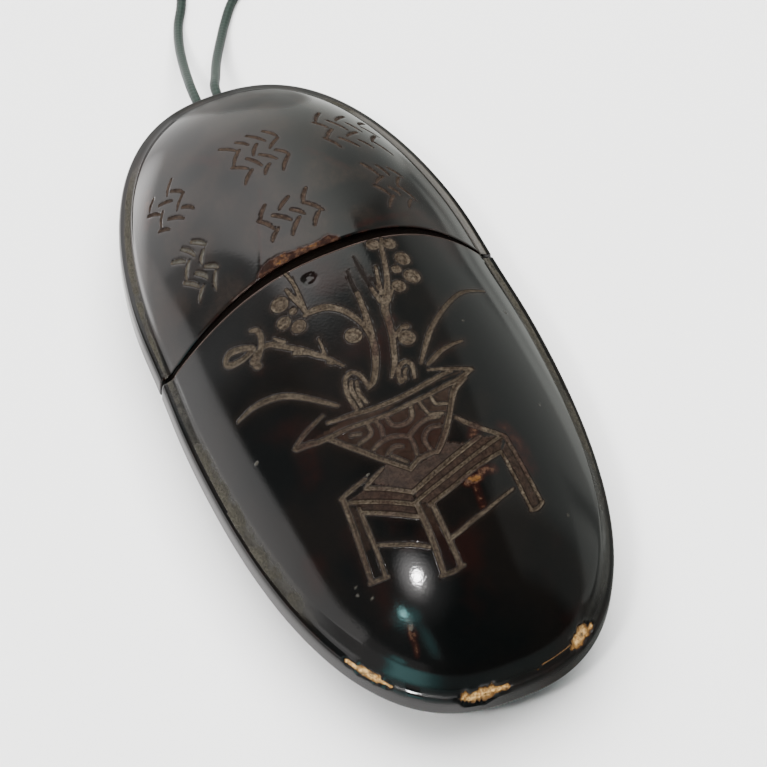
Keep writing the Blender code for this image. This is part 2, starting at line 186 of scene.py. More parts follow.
def outer_rings(half, u, v, band_rows, back_rows):
    """Rings outside the dome's sheet: down the cove, over the rim, down the band, and in over the back."""
    for way in (0.03, 0.1, 0.22, 0.38, 0.56, 0.74, 0.88):
        yield half.place(u, v, LEDGE + (RIM_SLACK - LEDGE) * way, cove(way))
    for turn in np.linspace(0, 1, 8)[:-1]:
        rim_inset = RIM_SLACK * (1 - np.sin(turn * pi / 2)) ** 1.5
        yield half.place(u, v, rim_inset, level(-RIM_DROP * (1 - np.cos(turn * pi / 2)) - 0.02 * turn))
    for share in np.linspace(0, 1, band_rows):
        yield half.place(u, v, 0, level(-RIM_DROP - (BAND_HEIGHT - RIM_DROP - 0.3) * share))
    for inset, above in ((0.03, 0.18), (0.12, 0.08), (0.3, 0.02)):
        yield half.place(u, v, inset, level(above - BAND_HEIGHT))
    for share in np.linspace(1, 0, back_rows):
        yield half.place(u * share, v * share, BACK_EDGE, back_height)


def section_reach(angle, y, skin, halvings=26):
    """How far the form, a skin further in, reaches from its section's middle at an angle, by halving."""
    low, high = np.zeros_like(angle), np.full_like(angle, WIDTH)
    foot = dome_foot(y) - skin
    for _ in range(halvings):
        reach = (low + high) / 2
        x, z = reach * np.cos(angle), reach * np.sin(angle) - SECTION_DROP
        under = z < front_height(x, y, LEDGE + skin, FRONT_RISE - skin, foot)
        over = z > back_height(x, y, LEDGE + skin, BACK_DEPTH - skin)
        inside = under & over & (np.abs(x) < half_width(y, LEDGE + skin))
        low, high = np.where(inside, reach, low), np.where(inside, high, reach)
    return low


def inner_rings(half, loop, stops):
    """Rings inside the case, from the mouth inward. A stop is how far past the mouth, and under the skin."""
    middle = RIM_HEIGHT - SECTION_DROP
    angle = np.arctan2(loop[:, 2] - middle, loop[:, 0])
    for past, skin in stops:
        y = half.mouth(loop[:, 0], 0) + past * half.end
        reach = section_reach(angle, y, skin)
        yield np.stack([reach * np.cos(angle), y, middle + reach * np.sin(angle)], axis=-1)


def rows_of_quads(rows, columns, closed):
    """Corner numbers of the quads of a grid whose points are counted along its rows."""
    reach = columns if closed else columns - 1
    row, column = np.meshgrid(np.arange(rows - 1), np.arange(reach), indexing="ij")
    near, far, beside = row * columns, (row + 1) * columns, (column + 1) % columns
    return np.stack([near + column, near + beside, far + beside, far + column], axis=-1).reshape(-1, 4)


def half_mesh(half, u, v, band_rows, back_rows, stops):
    """Points and faces of a half, one closed skin, and how many points are outside.

    They are the dome's sheet, the rings round it, the rings inside, and a fan at each end.
    """
    sheet_u, sheet_v = np.meshgrid(u, v)
    rows, columns = sheet_u.shape
    dome = half.place(sheet_u, sheet_v, LEDGE, half.front)
    number = np.arange(rows * columns).reshape(rows, columns)
    edge = np.concatenate([number[:, 0], number[-1, 1:], number[-2::-1, -1]])
    rings = list(outer_rings(half, sheet_u.ravel()[edge], sheet_v.ravel()[edge], band_rows, back_rows))
    middle = rings[-1][:1]
    rings = rings[:-1]
    points = [dome.reshape(-1, 3), *rings, middle]
    size = len(edge)
    ring_number = rows * columns + np.arange(len(rings) * size).reshape(len(rings), size)
    strip = np.vstack([edge, ring_number])
    pole = rows * columns + len(rings) * size
    faces = [
        rows_of_quads(rows, columns, False),
        strip.ravel()[rows_of_quads(len(strip), size, False)],
        np.stack([strip[-1, :-1], strip[-1, 1:], *[np.full(size - 1, pole)] * 2], axis=1),
    ]
    loop = np.concatenate([number[0], strip[1:, -1], [pole], strip[:0:-1, 0]])
    outside = np.vstack(points)
    inside = list(inner_rings(half, outside[loop], stops))
    inner = len(outside) + np.arange(len(inside) * len(loop)).reshape(len(inside), len(loop))
    well = np.vstack([loop, inner])
    faces.append(well.ravel()[rows_of_quads(len(well), len(loop), True)][:, ::-1])
    last = len(outside) + inner.size
    after = np.roll(well[-1], -1)
    faces.append(np.stack([after, well[-1], *[np.full(len(loop), last)] * 2], axis=1))
    points = np.vstack([outside, *inside, inside[-1].mean(axis=0)[None]])
    faces = np.vstack(faces)
    return points, faces if half.end > 0 else faces[:, [1, 0, 3, 2]], len(outside)


def facing(points, faces):
    """The way each point faces: the sum of its faces' own directions."""
    corners = points[faces]
    across = np.cross(corners[:, 2] - corners[:, 0], corners[:, 3] - corners[:, 1])
    flat = faces[:, 2] == faces[:, 3]
    across[flat] = np.cross(corners[flat, 1] - corners[flat, 0], corners[flat, 2] - corners[flat, 0])
    out = np.zeros_like(points)
    for corner in range(4):
        for axis in range(3):
            out[:, axis] += np.bincount(faces[:, corner], across[:, axis], len(points))
    return out / np.maximum(np.linalg.norm(out, axis=1), 1e-12)[:, None]


def steps_from_mouth(length, first, fine, end_step):
    """Places from 0 to 1 down a sheet: a few close rows at the mouth, then even ones, wider near the end."""
    places = list(first)
    while places[-1] < length - 1e-6:
        way = places[-1] / length
        step = fine + (end_step - fine) * np.clip((way - 0.8) / 0.2, 0, 1)
        places.append(min(places[-1] + step, length))
    return np.array(places) / length


def steps_across(count):
    """Places from -1 to 1, closer toward the sides, where the dome is steep."""
    even = np.linspace(-1, 1, count)
    return 0.6 * even + 0.4 * np.sin(pi * even / 2)


def even_steps(curve, spacing):
    """The same curve with its points an even distance apart, by linear interpolation on its length."""
    along = np.r_[0, np.cumsum(np.linalg.norm(np.diff(curve, axis=0), axis=1))]
    steps = np.linspace(0, along[-1], max(2, round(along[-1] / spacing) + 1))
    return np.stack([np.interp(steps, along, curve[:, k]) for k in range(curve.shape[1])], axis=1)


def smooth_route(points, spacing):
    """Points spacing apart on the Catmull-Rom curve, whose slope at a point is half the step past it."""
    route = np.array(points, float)
    route = np.vstack([2 * route[0] - route[1], route, 2 * route[-1] - route[-2]])
    t = np.linspace(0, 1, 40, endpoint=False)[:, None]
    before, start, end, after = (route[k : len(route) - 3 + k, None] for k in range(4))
    curve = 0.5 * (
        2 * start
        + (end - before) * t
        + (2 * before - 5 * start + 4 * end - after) * t**2
        + (3 * start - before - 3 * end + after) * t**3
    )
    curve = np.vstack([curve.reshape(-1, route.shape[1]), route[-2]])
    return even_steps(curve, spacing)


def stroke_depth(half, points, strokes, depth, spacing=0.12, margin=1.6):
    """How deep strokes cut at each point, and how near it is to one: 1 at its edge, and more inside.

    The depth is depth (1 - r^2.5), where r is the distance from the stroke's middle over its half width. A
    stroke is a list of (x, y, width), seen from above.
    """
    cut, near_cut = np.zeros(len(points)), np.zeros(len(points))
    for stroke in strokes:
        route = np.array(stroke, float)
        route = smooth_route(route, spacing) if len(route) > 2 else even_steps(route, spacing)
        x, y, half_wide = route[:, 0], route[:, 1], route[:, 2] / 2
        z = RIM_HEIGHT + half.front(x, y)
        near = points[:, 2] > RIM_HEIGHT + 0.5
        for axis, values in ((0, x), (1, y)):
            near &= np.abs(points[:, axis] - (values.max() + values.min()) / 2) < np.ptp(values) / 2 + margin
        near = np.flatnonzero(near)
        if not len(near):
            continue
        line = np.stack([x, y, z], axis=-1)
        gap = np.linalg.norm(points[near, None] - line[None], axis=2)
        reach = (gap / half_wide[None]).min(axis=1)
        cut[near] = np.maximum(cut[near], depth * np.clip(1 - reach**2.5, 0, 1))
        away = (gap - half_wide[None]).min(axis=1)
        near_cut[near] = np.maximum(near_cut[near], np.clip(1 - away / CUT_REACH, 0, 1.4))
    return cut, near_cut


# The case body
# The longer half, hollowed out, with a thin lip that the lid slips over. Its front is carved in rounded
# strokes with a planting bowl of grasses and buds on a small table. The lacquer has broken off the rim in
# three places at its end.
body = Half(end=-1, gap=0, lean=0, proud=0)
edge_steps = (0, 0.05, 0.12, 0.2, 0.3, 0.42, 0.58, 0.76)
body_length = LENGTH / 2 + SEAM
body_v = steps_from_mouth(body_length, edge_steps, fine=0.185, end_step=0.5)
body_u = steps_across(228)
inner_stops = [0, 6, 14, 22, 30, 37, 43, 47, 49.3, 50.2]
body_stops = [(0, 0.5), (0, 1.45), (-2, 1.45), (-4.4, 1.45), (-4.5, 1.6), (-4.5, 2.2)]
body_stops += [(past, WALL) for past in inner_stops]
body_points, body_faces, body_outside = half_mesh(
    body, body_u, body_v, band_rows=7, back_rows=9, stops=body_stops
)

grasses = [
    [(-17.2, -3.5, 0.2), (-15.5, -3.6, 0.6), (-13.8, -4.2, 0.8), (-12, -5.3, 0.8), (-10.3, -7, 0.65),
     (-9, -8.5, 0.5), (-7.6, -10.1, 0.3)],
    [(16.6, 1.6, 0.15), (13, 0.4, 0.4), (9.8, -1.8, 0.5), (6.6, -4.7, 0.6), (5.2, -6.4, 0.65),
     (3.3, -9, 0.3)],
    [(9.4, -7.1, 0.2), (7.8, -7.5, 0.4), (6.2, -8.1, 0.55), (4.9, -8.9, 0.65), (4, -9.4, 0.3)],
    [(0.5, 5.8, 0.2), (0.3, 4, 0.5), (0.3, 2, 0.6), (0.1, 0, 0.75), (-0.2, -2, 0.9), (-0.6, -4, 0.9)],
    [(2, 7.4, 0.2), (2, 5.5, 0.4), (2.1, 3.5, 0.5), (2.4, 0.5, 0.6)],
    [(2.7, 4.2, 0.15), (2.9, 3.2, 0.3), (3, 2.2, 0.5)],
]
stems = [
    [(6.3, 9, 0.5), (5.7, 7.6, 0.75), (5.2, 5.6, 0.8), (4.6, 3.6, 0.9), (3.9, 2, 1.0), (3.1, 0.6, 1.3),
     (2.4, -0.8, 1.3), (2.1, -2.6, 1.1), (1.7, -4.4, 1.0), (1.1, -6.2, 0.9), (0.5, -7.8, 0.8),
     (-0.6, -9.5, 0.3)],
    [(3.9, 5.3, 0.3), (3.4, 3.4, 0.5), (3, 1.5, 0.6)],
    [(4.4, 1.6, 0.3), (3.3, 0.2, 0.5)],
    [(-6.3, 2.5, 0.5), (-5.3, 2.6, 1.1), (-4, 2.4, 1.25), (-3, 1.9, 1.15), (-2, 0.9, 1.0),
     (-1.3, -0.3, 0.9), (-0.8, -1.6, 0.8), (-0.6, -3, 0.9), (-0.7, -4.6, 1.1), (-1.2, -6.2, 1.1),
     (-1.9, -7.8, 0.95), (-2.8, -9.2, 0.9), (-3.6, -9.7, 0.6)],
    [(-6.1, 8.9, 0.3), (-5.8, 7.5, 0.4), (-5.8, 5.5, 0.5), (-6, 3.2, 0.6)],
    [(-6.8, 6.8, 0.3), (-6.6, 5.6, 0.7), (-6.2, 4.2, 0.8), (-6, 3, 0.7)],
    [(-11.9, 2, 0.8), (-11, 1.6, 0.85), (-10.2, 0.7, 0.8), (-9.2, -0.4, 0.8), (-8.2, -1.5, 0.8),
     (-7.2, -2.8, 0.8), (-6.4, -3.7, 0.6), (-5, -5.8, 0.2)],
    [(-10.4, 2, 0.2), (-9.6, 0.8, 0.5)],
    [(-9.3, -1.2, 0.3), (-8, -2, 0.6)],
    [(-6.1, -1.1, 0.15), (-6.3, -3.4, 0.4)],
    [(-6.5, -4.5, 0.15), (-5.9, -4.9, 0.3)],
    [(3.3, -3.6, 0.5), (1.9, -4.6, 0.5)],
]
flower = [
    [(-13, 2.4, 0.8), (-14.2, 2.4, 0.8), (-15.4, 2.9, 0.9), (-15.8, 3.7, 0.9), (-15.1, 4.3, 1.0),
     (-13.9, 3.7, 0.9), (-12.9, 2.9, 0.7), (-12.7, 2.5, 0.6)],
    [(-12.2, 4.8, 0.4), (-11.6, 4.3, 0.8), (-11.5, 3.3, 0.9), (-11.9, 2.2, 0.9), (-12.6, 1.3, 1.1),
     (-13.2, 0.7, 1.3), (-13, 0.2, 1.0)],
    [(-12.6, 1.8, 0.9), (-13.4, 1.2, 1.0)],
]
roots = [
    [(-5.9, -11.6, 0.4), (-6.1, -9.5, 0.5), (-5.6, -7.6, 0.5), (-4.7, -7, 0.5), (-3.9, -7.6, 0.5),
     (-3.5, -9.3, 0.6)],
    [(-5.3, -11.5, 0.35), (-5.4, -9, 0.4), (-5, -8, 0.3)],
    [(-4.6, -11.4, 0.3), (-4.8, -9.6, 0.4), (-4.5, -8.3, 0.3)],
    [(0.1, -10.5, 0.4), (0.3, -9.3, 0.5), (1, -8.4, 0.55), (1.8, -8.2, 0.55), (2.2, -9, 0.55),
     (1.8, -10.5, 0.35)],
    [(0.8, -10.3, 0.3), (1, -9.5, 0.35), (1.4, -9.1, 0.3)],
]
bowl = [
    [(-13.6, -11.5, 0.5), (-12, -10.8, 0.6), (-9.5, -10.2, 0.25)],
    [(-13.4, -11.7, 0.9), (-12, -12.3, 0.9), (-10.6, -12.9, 0.6), (-7.5, -13.3, 0.45), (-5, -13.7, 0.45),
     (-2.5, -13.8, 0.45), (0, -13.5, 0.45), (2.5, -13.2, 0.5), (4.8, -12.7, 0.6), (6.6, -12.3, 0.7),
     (8.6, -11.3, 0.5)],
    [(-9.4, -11.3, 0.3), (-8, -11.7, 0.5), (-6.5, -12, 0.55), (-4.5, -12.4, 0.6), (-2, -12.45, 0.6),
     (0.5, -12.2, 0.6), (3, -11.7, 0.6), (5, -11.2, 0.5), (6.2, -11, 0.4)],
    [(3.7, -10.1, 0.2), (6, -10.6, 0.45), (8.8, -11.2, 0.6)],
    [(-10.2, -12.9, 0.5), (-8.8, -14.9, 0.65), (-7.4, -16.7, 0.65), (-5.8, -18.7, 0.6),
     (-3.4, -21.2, 0.5)],
    [(7.4, -12.2, 0.7), (5.6, -13.4, 1.0), (4.6, -14.8, 0.8), (3.6, -16.4, 0.7), (2.5, -18, 0.8),
     (1.4, -19.3, 0.8), (0.3, -20.4, 0.6)],
    [(-3.4, -21.2, 0.6), (-2.2, -20.5, 0.55), (-1, -20.3, 0.55), (0.4, -20.3, 0.5)],
]
scales = [
    [(-3.3, -14.2, 0.4), (-3.1, -15.2, 0.5), (-2.2, -15.7, 0.5), (-1.2, -15.6, 0.5), (-0.5, -15, 0.5),
     (-0.2, -14, 0.4)],
    [(-5.6, -14, 0.35), (-5.7, -15.2, 0.4), (-7.4, -15.7, 0.3)],
    [(-4.6, -13.9, 0.4), (-4.4, -15.2, 0.45), (-4.6, -16, 0.3)],
    [(-6.2, -17.1, 0.3), (-5.2, -16.7, 0.4), (-4, -16.6, 0.45), (-2.8, -16.9, 0.4), (-2, -17.3, 0.4),
     (-1.2, -16.9, 0.45), (-0.3, -16.4, 0.45), (1, -16.1, 0.45), (2.3, -16.3, 0.35)],
    [(-1.9, -17.3, 0.35), (-1.8, -18.5, 0.4), (-2, -19.8, 0.3)],
    [(-0.3, -19.9, 0.3), (-0.5, -18.6, 0.45), (0, -17.7, 0.45), (0.8, -17.3, 0.45), (1.9, -17.4, 0.4)],
    [(-5, -18.3, 0.25), (-4, -17.9, 0.4), (-3.1, -18.2, 0.3)],
    [(-4.7, -18.8, 0.25), (-3.4, -20.2, 0.3)],
    [(1, -13.6, 0.3), (1.1, -14.6, 0.35), (1.3, -15.4, 0.3)],
    [(2.5, -13.6, 0.3), (2.7, -14.6, 0.4), (3.9, -15, 0.3)],
    [(1.4, -15.6, 0.3), (2.9, -16, 0.35)],
    [(-7.8, -14.2, 0.3), (-6.8, -14.6, 0.3)],
]
table = [
    [(-11.6, -20.2, 0.45), (-10, -20, 0.5), (-8.4, -19.8, 0.35)],
    [(-8.4, -20.5, 0.5), (-7.3, -20.1, 0.45), (-6.2, -19.7, 0.2)],
    [(-8.8, -20.8, 0.5), (-6.6, -22.2, 0.55), (-4.3, -23.8, 0.6)],
    [(-10.9, -21.2, 0.5), (-7.6, -23.3, 0.55), (-4.8, -25.1, 0.6)],
    [(-10.2, -23, 0.45), (-7.6, -24.8, 0.55), (-4.9, -26.6, 0.5)],
    [(-3.9, -23.7, 0.65), (-1, -22.6, 0.7), (2, -21.5, 0.7), (5.7, -20.1, 0.55)],
    [(-4.4, -25, 0.45), (0, -23.6, 0.45), (4, -22.2, 0.45), (8.3, -20.5, 0.4)],
    [(-3.1, -25.9, 0.5), (0, -25, 0.5), (3.5, -23.7, 0.45), (7.3, -22.5, 0.45)],
    [(4.1, -17, 0.5), (5, -18, 0.75), (6.5, -19.2, 0.75), (8.7, -20.6, 0.7)],
    [(-11.4, -20.5, 0.8), (-11.6, -24, 0.85), (-11.9, -28, 0.75), (-12, -30, 0.6)],
    [(-10.3, -22.4, 0.5), (-10.35, -25, 0.55), (-10.4, -28, 0.5), (-10.5, -30.4, 0.45)],
    [(-12.3, -30.1, 0.4), (-11.3, -30.4, 0.5), (-10.3, -30.7, 0.4)],
    [(-10, -27.2, 0.4), (-8, -28.4, 0.45), (-6.5, -29.2, 0.45), (-5, -30.2, 0.4)],
    [(-4.45, -25.2, 0.7), (-4.4, -29, 0.8), (-4.6, -33.3, 0.65)],
    [(-2.8, -26.1, 0.6), (-2.7, -29, 0.7), (-2.5, -33.3, 0.6)],
    [(-5, -33.5, 0.4), (-3.6, -33.6, 0.5), (-2.1, -33.4, 0.35)],
    [(8.75, -20.8, 0.8), (9, -23, 0.7), (9.3, -26, 0.65), (9.6, -29, 0.6)],
    [(7.4, -22.5, 0.45), (7.6, -25, 0.5), (7.9, -29.8, 0.45)],
    [(7.8, -29.9, 0.4), (8.8, -29.7, 0.5), (9.8, -29, 0.4)],
    [(-2.5, -30.3, 0.5), (-1, -29.9, 0.5), (1, -29.2, 0.45), (3, -28.6, 0.35), (6.9, -27.1, 0.15)],
]
bud_places = [
    (-8.2, 5.45, 0.95), (-7.25, 3.8, 0.4), (-8.7, 3.0, 0.75), (-7.45, 1.6, 0.8), (-3.9, 6.6, 0.85),
    (4.9, 8.4, 0.75), (6.9, 8.1, 0.75), (7.5, 5.7, 0.9), (6.1, 4.3, 0.55), (7.5, 2.95, 0.95),
    (5.35, 1.9, 0.8), (3.2, -5.2, 0.95), (3.75, -3.7, 0.35), (-2.4, -2.6, 0.95), (0.2, -10.3, 0.35),
]


def edge_rounding(half, points, radius):
    """How far the mouth's edge is worn back: r - sqrt(r^2 - (r - d)^2), where d is the distance from it."""
    away = np.abs(points[:, 1] - half.mouth(points[:, 0], points[:, 2] - RIM_HEIGHT))
    short = np.clip(radius - away, 0, radius)
    return radius - np.sqrt(radius**2 - short**2)


def smooth_step(value, start, end):
    """0 up to start, 1 from end on, and t^2 (3 - 2t) between. Start may be the greater."""
    t = np.clip((value - start) / (end - start), 0, 1)
    return t * t * (3 - 2 * t)


def wobble(points, size, turn=0.0):
    """Smooth uneven values, mostly within -1 to 1: a sum of sines along eight lines in all directions."""
    total = np.zeros(len(points))
    for k in range(8):
        tip, swing = np.arccos(1 - (k + 0.5) / 4), 2.4 * k + turn
        line = np.array([np.sin(tip) * np.cos(swing), np.sin(tip) * np.sin(swing), np.cos(tip)])
        total += np.sin(points @ line * 2 * pi / size * (1 + 0.13 * k) + 1.7 * k + turn)
    return total / 3


def from_line(points, line):
    """The distance from each point to a line of (x, y) points, seen from above."""
    route = even_steps(np.array(line, float), 0.15)
    return np.linalg.norm(points[:, None, :2] - route[None], axis=2).min(axis=1)


def from_outline(points):
    """How far each point is inside the outline, seen from above: (1 - s - t) over the slope of s + t."""
    x, y = np.abs(points[:, 0]) / (WIDTH / 2), np.abs(points[:, 1]) / (LENGTH / 2)
    power = end_power(points[:, 1])
    slope = power * np.hypot(x ** (power - 1) / (WIDTH / 2), y ** (power - 1) / (LENGTH / 2))
    return (1 - x**power - y**power) / np.maximum(slope, 1e-9)


def soften(points, faces, share, rounds):
    """Rounds an edge: each point goes its share of the way to its neighbours' middle, a number of times."""
    ends = np.vstack([faces[:, [k, (k + 1) % 4]] for k in range(4)])
    ends = np.vstack([ends, ends[:, ::-1]])
    ends = ends[(ends[:, 0] != ends[:, 1]) & (share[ends[:, 0]] > 0)]
    count = np.maximum(np.bincount(ends[:, 0], minlength=len(points)), 1)
    for _ in range(rounds):
        sums_near = [np.bincount(ends[:, 0], points[ends[:, 1], axis], len(points)) for axis in range(3)]
        points = points + share[:, None] * (np.stack(sums_near, axis=1) / count[:, None] - points)
    return points


def from_dot(points, x, y):
    """The distance from each point to a very small dot, seen from above."""
    return from_line(points, [(x, y), (x + 0.05, y)])


def on_crest(points, reach):
    """1 on the line between the dome and the cove, and 0 at the distance reach from it."""
    lift = points[:, 2] - RIM_HEIGHT - dome_foot(points[:, 1])
    away = np.hypot(from_outline(points) - LEDGE, np.maximum(lift, 0) * 0.5)
    return np.where(points[:, 2] > RIM_HEIGHT + 0.1, smooth_step(away, reach, 0.3 * reach), 0)


def bud_depth(half, points, places):
    """Round buds: a ring groove about a shallow dish, by the distance r over the bud's radius."""
    depth = np.zeros(len(points))
    for x, y, radius in places:
        middle = np.array([x, y, RIM_HEIGHT + float(half.front(np.array(x), np.array(y)))])
        r = np.linalg.norm(points - middle, axis=1) / radius * (1.08 + 0.07 * wobble(points, 1.6))
        groove = 0.1 * np.exp(-(((r - 0.8) / 0.16) ** 2))
        depth = np.maximum(depth, 0.15 * smooth_step(r, 1.0, 0.85) + groove)
    return depth


def slimmer(strokes, share):
    """The same strokes with a share of their width."""
    return [[(x, y, wide * share) for x, y, wide in stroke] for stroke in strokes]


body_outer = body_points[:body_outside].copy()
ledge_inset = from_outline(body_outer)
upward = body_outer[:, 2] > RIM_HEIGHT + 0.02
crest = on_crest(body_outer, 1.1)
crest_share = np.zeros(len(body_points))
crest_share[:body_outside] = 0.5 * crest * (0.35 + 0.65 * toward_body_end(body_outer[:, 1]))
body_points = soften(body_points, body_faces, crest_share, rounds=12)
body_outer = body_points[:body_outside].copy()
body_face = facing(body_points, body_faces)[:body_outside]

plants = slimmer([*grasses, *flower, *roots], 0.66) + slimmer(stems, 0.54)
plant_cut, near_plants = stroke_depth(body, body_outer, plants, depth=0.2)
line_cut, near_lines = stroke_depth(body, body_outer, slimmer([*bowl, *table], 0.6), depth=0.26)
scale_cut, near_scales = stroke_depth(body, body_outer, slimmer(scales, 0.62), depth=0.17)
bud_cut = bud_depth(body, body_outer, bud_places)
body_cut = np.maximum.reduce([plant_cut, line_cut, scale_cut, bud_cut])
body_cut *= 1 + 0.12 * wobble(body_outer, 0.8)

# where the lacquer has broken off: a line along the rim, how wide, deep and far over the rim, and how fresh
rim_chips = [
    ([(-16.9, -34.2), (-15.3, -37.0), (-13.6, -39.4)], 0.3, 0.25, 0, 1.0),
    ([(-16.0, -35.9), (-14.7, -37.9)], 0.5, 0.35, 0, 1.0),
    ([(-7.4, -44.0), (-5.5, -44.4), (-3.4, -44.6), (-1.2, -44.55)], 0.36, 0.3, 0, 0.83),
    ([(-6.2, -44.3), (-4.8, -44.5), (-3.4, -44.7)], 0.82, 0.5, -0.25, 0.83),
    ([(7.5, -42.85), (9.0, -42.2), (10.9, -41.1)], 0.38, 0.3, 0, 0.82),
    ([(8.6, -42.2), (9.9, -41.5)], 0.95, 0.4, 0.45, 0.82),
]
bare = np.zeros(body_outside)
chip_depth = np.zeros(body_outside)
ragged = 1 + (0.1 + 0.18 * smooth_step(body_outer[:, 0], -12, -8)) * wobble(body_outer, 2.6)
ragged += 0.10 * wobble(body_outer, 0.9, 1.0)
for line, wide, depth, lift, fresh in rim_chips:
    from_level = np.abs(body_outer[:, 2] - RIM_HEIGHT - lift)
    reach = np.hypot(from_line(body_outer, line), 0.75 * from_level) / (wide * ragged)
    inside = smooth_step(reach, 1.12, 0.9)
    bare = np.maximum(bare, fresh * np.clip(1.5 - reach, 0, 1.25))
    chip_depth = np.maximum(chip_depth, inside * depth * (1 + 0.35 * wobble(body_outer, 0.6, 2.0)))
# a thin crack runs over the ledge from the third chip
crack_half_wide = 0.13
from_crack = from_line(body_outer, [(7.3, -42.85), (4.8, -43.6), (2.6, -44.1)]) / crack_half_wide
bare = np.maximum(bare, upward * 0.57 * np.clip(1.6 - from_crack, 0, 1))
body_depth = body_cut + edge_rounding(body, body_outer, radius=0.26) + chip_depth
body_points[:body_outside] -= body_face * body_depth[:, None]

# dust that lies on the ledge, thick on the left and thin at the body's end, a few stray specks, and a painted
# highlight along the right crest
left_side = smooth_step(body_outer[:, 0], -6, -14) * smooth_step(body_outer[:, 1], -31.5, -22)
left_side = left_side * (0.55 + 0.25 * smooth_step(body_outer[:, 1], 0, -9))
right_side = smooth_step(body_outer[:, 0], 6, 14) * (0.25 + 0.45 * smooth_step(body_outer[:, 1], -32, -16))
ledge_dust = upward * smooth_step(ledge_inset, 0.25, 0.7) * smooth_step(ledge_inset, 2.3, 1.5)
ledge_dust = ledge_dust * np.maximum(left_side, right_side + 0.06) * (body_outer[:, 2] < RIM_HEIGHT + 3.2)
specks = [
    (-13.7, -29.4, 0.12), (-13.8, -30.2, 0.1), (-12.6, -31.5, 0.12), (15.6, -15.8, 0.12), (-17.4, -9.4, 0.2),
    (10.9, -4.1, 0.12), (18.2, -1.0, 0.3), (-8.0, -19.5, 0.1), (12.4, -30.5, 0.1), (-9.9, -36.4, 0.2),
]
for x, y, radius in specks:
    ledge_dust = np.maximum(ledge_dust, smooth_step(from_dot(body_outer, x, y), radius + 0.15, 0.05))
# a painted highlight along the right crest, given as pale dust
painted_crest_highlight = on_crest(body_outer, 0.55) * smooth_step(body_outer[:, 0], 6, 14)
ledge_dust = np.maximum(ledge_dust, painted_crest_highlight * (0.25 + 0.9 * smooth_step(body_outer[:, 1], -28, -7)))
smudge = smooth_step(from_line(body_outer, [(-4.3, -41.4), (-3.5, -40.2), (-2.6, -41.2)]), 0.9, 0.1)
ledge_dust = np.maximum(ledge_dust, 0.16 * smudge * smooth_step(wobble(body_outer, 0.7), -0.6, 0.8))

# where the red ground shows through thin lacquer: a line, how wide, and how strong
thin_places = [
    ([(9.2, -19.5), (10.2, -22), (9.9, -25)], 1.3, 0.7), ([(2.0, -24.9), (3.4, -24.8)], 0.8, 1.32),
    ([(2.8, -25.3), (2.5, -28.2)], 0.6, 0.9), ([(4, -24.3), (5.5, -24.3)], 0.8, 1.0),
    ([(5.0, -19.8), (5.6, -19.0)], 0.9, 1.0), ([(-1, -5.6), (0, -4.6), (2.6, -2.2)], 1.0, 0.5),
    ([(-8.5, -14.2), (-7.0, -11.0)], 1.6, 0.35), ([(-12, -10.5), (-13.4, -16)], 1.8, 0.45),
    ([(-12.5, -24), (-12, -30)], 1.3, 0.3), ([(-4, -16), (0, -18)], 3.2, 0.55),
    ([(-7.5, -22), (-7.5, -27)], 1.4, 0.3), ([(-10.0, -35.8), (-9.95, -37.3)], 0.6, 1.0),
    ([(-9.95, -37.3), (-10.1, -38.8)], 0.45, 0.75),
]
red = np.zeros(body_outside)
for line, wide, strength in thin_places:
    red = np.maximum(red, strength * smooth_step(from_line(body_outer, line), wide * 1.4, 0.1))
# the flat parts of the bowl and the table, where the lacquer is worn to brown: how much, and the corners
worn_fields = [
    (0.7, [(-10.2, -12.9), (-8.8, -14.9), (-5.8, -18.7), (-3.4, -21.2), (0.3, -20.4), (4.8, -14.8),
           (7.2, -12.3), (-2, -13.9)]),
    (0.7, [(-12.6, -12.0), (-5, -13.6), (8.8, -11.2), (-2, -12.4)]),
    (0.85, [(-10.9, -20.9), (-10.2, -23.0), (-4.8, -26.5), (-4.3, -23.8), (-8.8, -20.8)]),
    (0.85, [(-4.4, -25.0), (-3.1, -25.9), (7.3, -22.5), (8.5, -20.6), (5.7, -20.1), (-3.9, -23.7)]),
    (0.8, [(-8.2, -20.6), (-4.2, -23.7), (2.0, -21.5), (4.0, -20.6), (1.4, -19.4), (0.3, -20.4),
           (-3.4, -21.2), (-5.4, -19.2)]),
    (0.8, [(8.8, -20.9), (7.4, -22.6), (7.9, -29.8), (9.7, -29.0)]),
    (0.6, [(-4.4, -25.2), (-4.5, -29.5), (-2.7, -29.5), (-2.8, -26.0)]),
    (0.5, [(-11.4, -21.0), (-11.8, -27.0), (-10.4, -27.0), (-10.3, -22.6)]),
]


def inside_field(points, corners):
    """1 inside a field of corners, in order round it, and 0 outside: by how often its edge is crossed."""
    x, y = points[:, 0], points[:, 1]
    crossings = np.zeros(len(points))
    for (x0, y0), (x1, y1) in zip(corners, corners[1:] + corners[:1]):
        level_here = (y0 > y) != (y1 > y)
        across = x0 + (x1 - x0) * (y - y0) / (y1 - y0 if y1 != y0 else 1)
        crossings += level_here & (x < across)
    return crossings % 2


worn_field = np.maximum.reduce([share * inside_field(body_outer, corners) for share, corners in worn_fields])
worn_field *= body_outer[:, 2] > RIM_HEIGHT
body_edge = np.maximum.reduce([near_plants, near_lines, near_scales])
mouth_line = np.abs(body_outer[:, 1] - body.mouth(body_outer[:, 0], body_outer[:, 2] - RIM_HEIGHT))
mouth_line = smooth_step(mouth_line, 0.46, 0.2) * (body_outer[:, 2] > RIM_HEIGHT + 0.3)
body_rub = np.maximum.reduce([
    0.4 * np.minimum(near_plants, 1) ** 2,
    0.35 * np.minimum(near_lines, 1) ** 3,
    0.7 * np.minimum(near_scales, 1) ** 2,
    worn_field,
    mouth_line,
    0.8 * smooth_step(red, 0.9, 1.2),
])
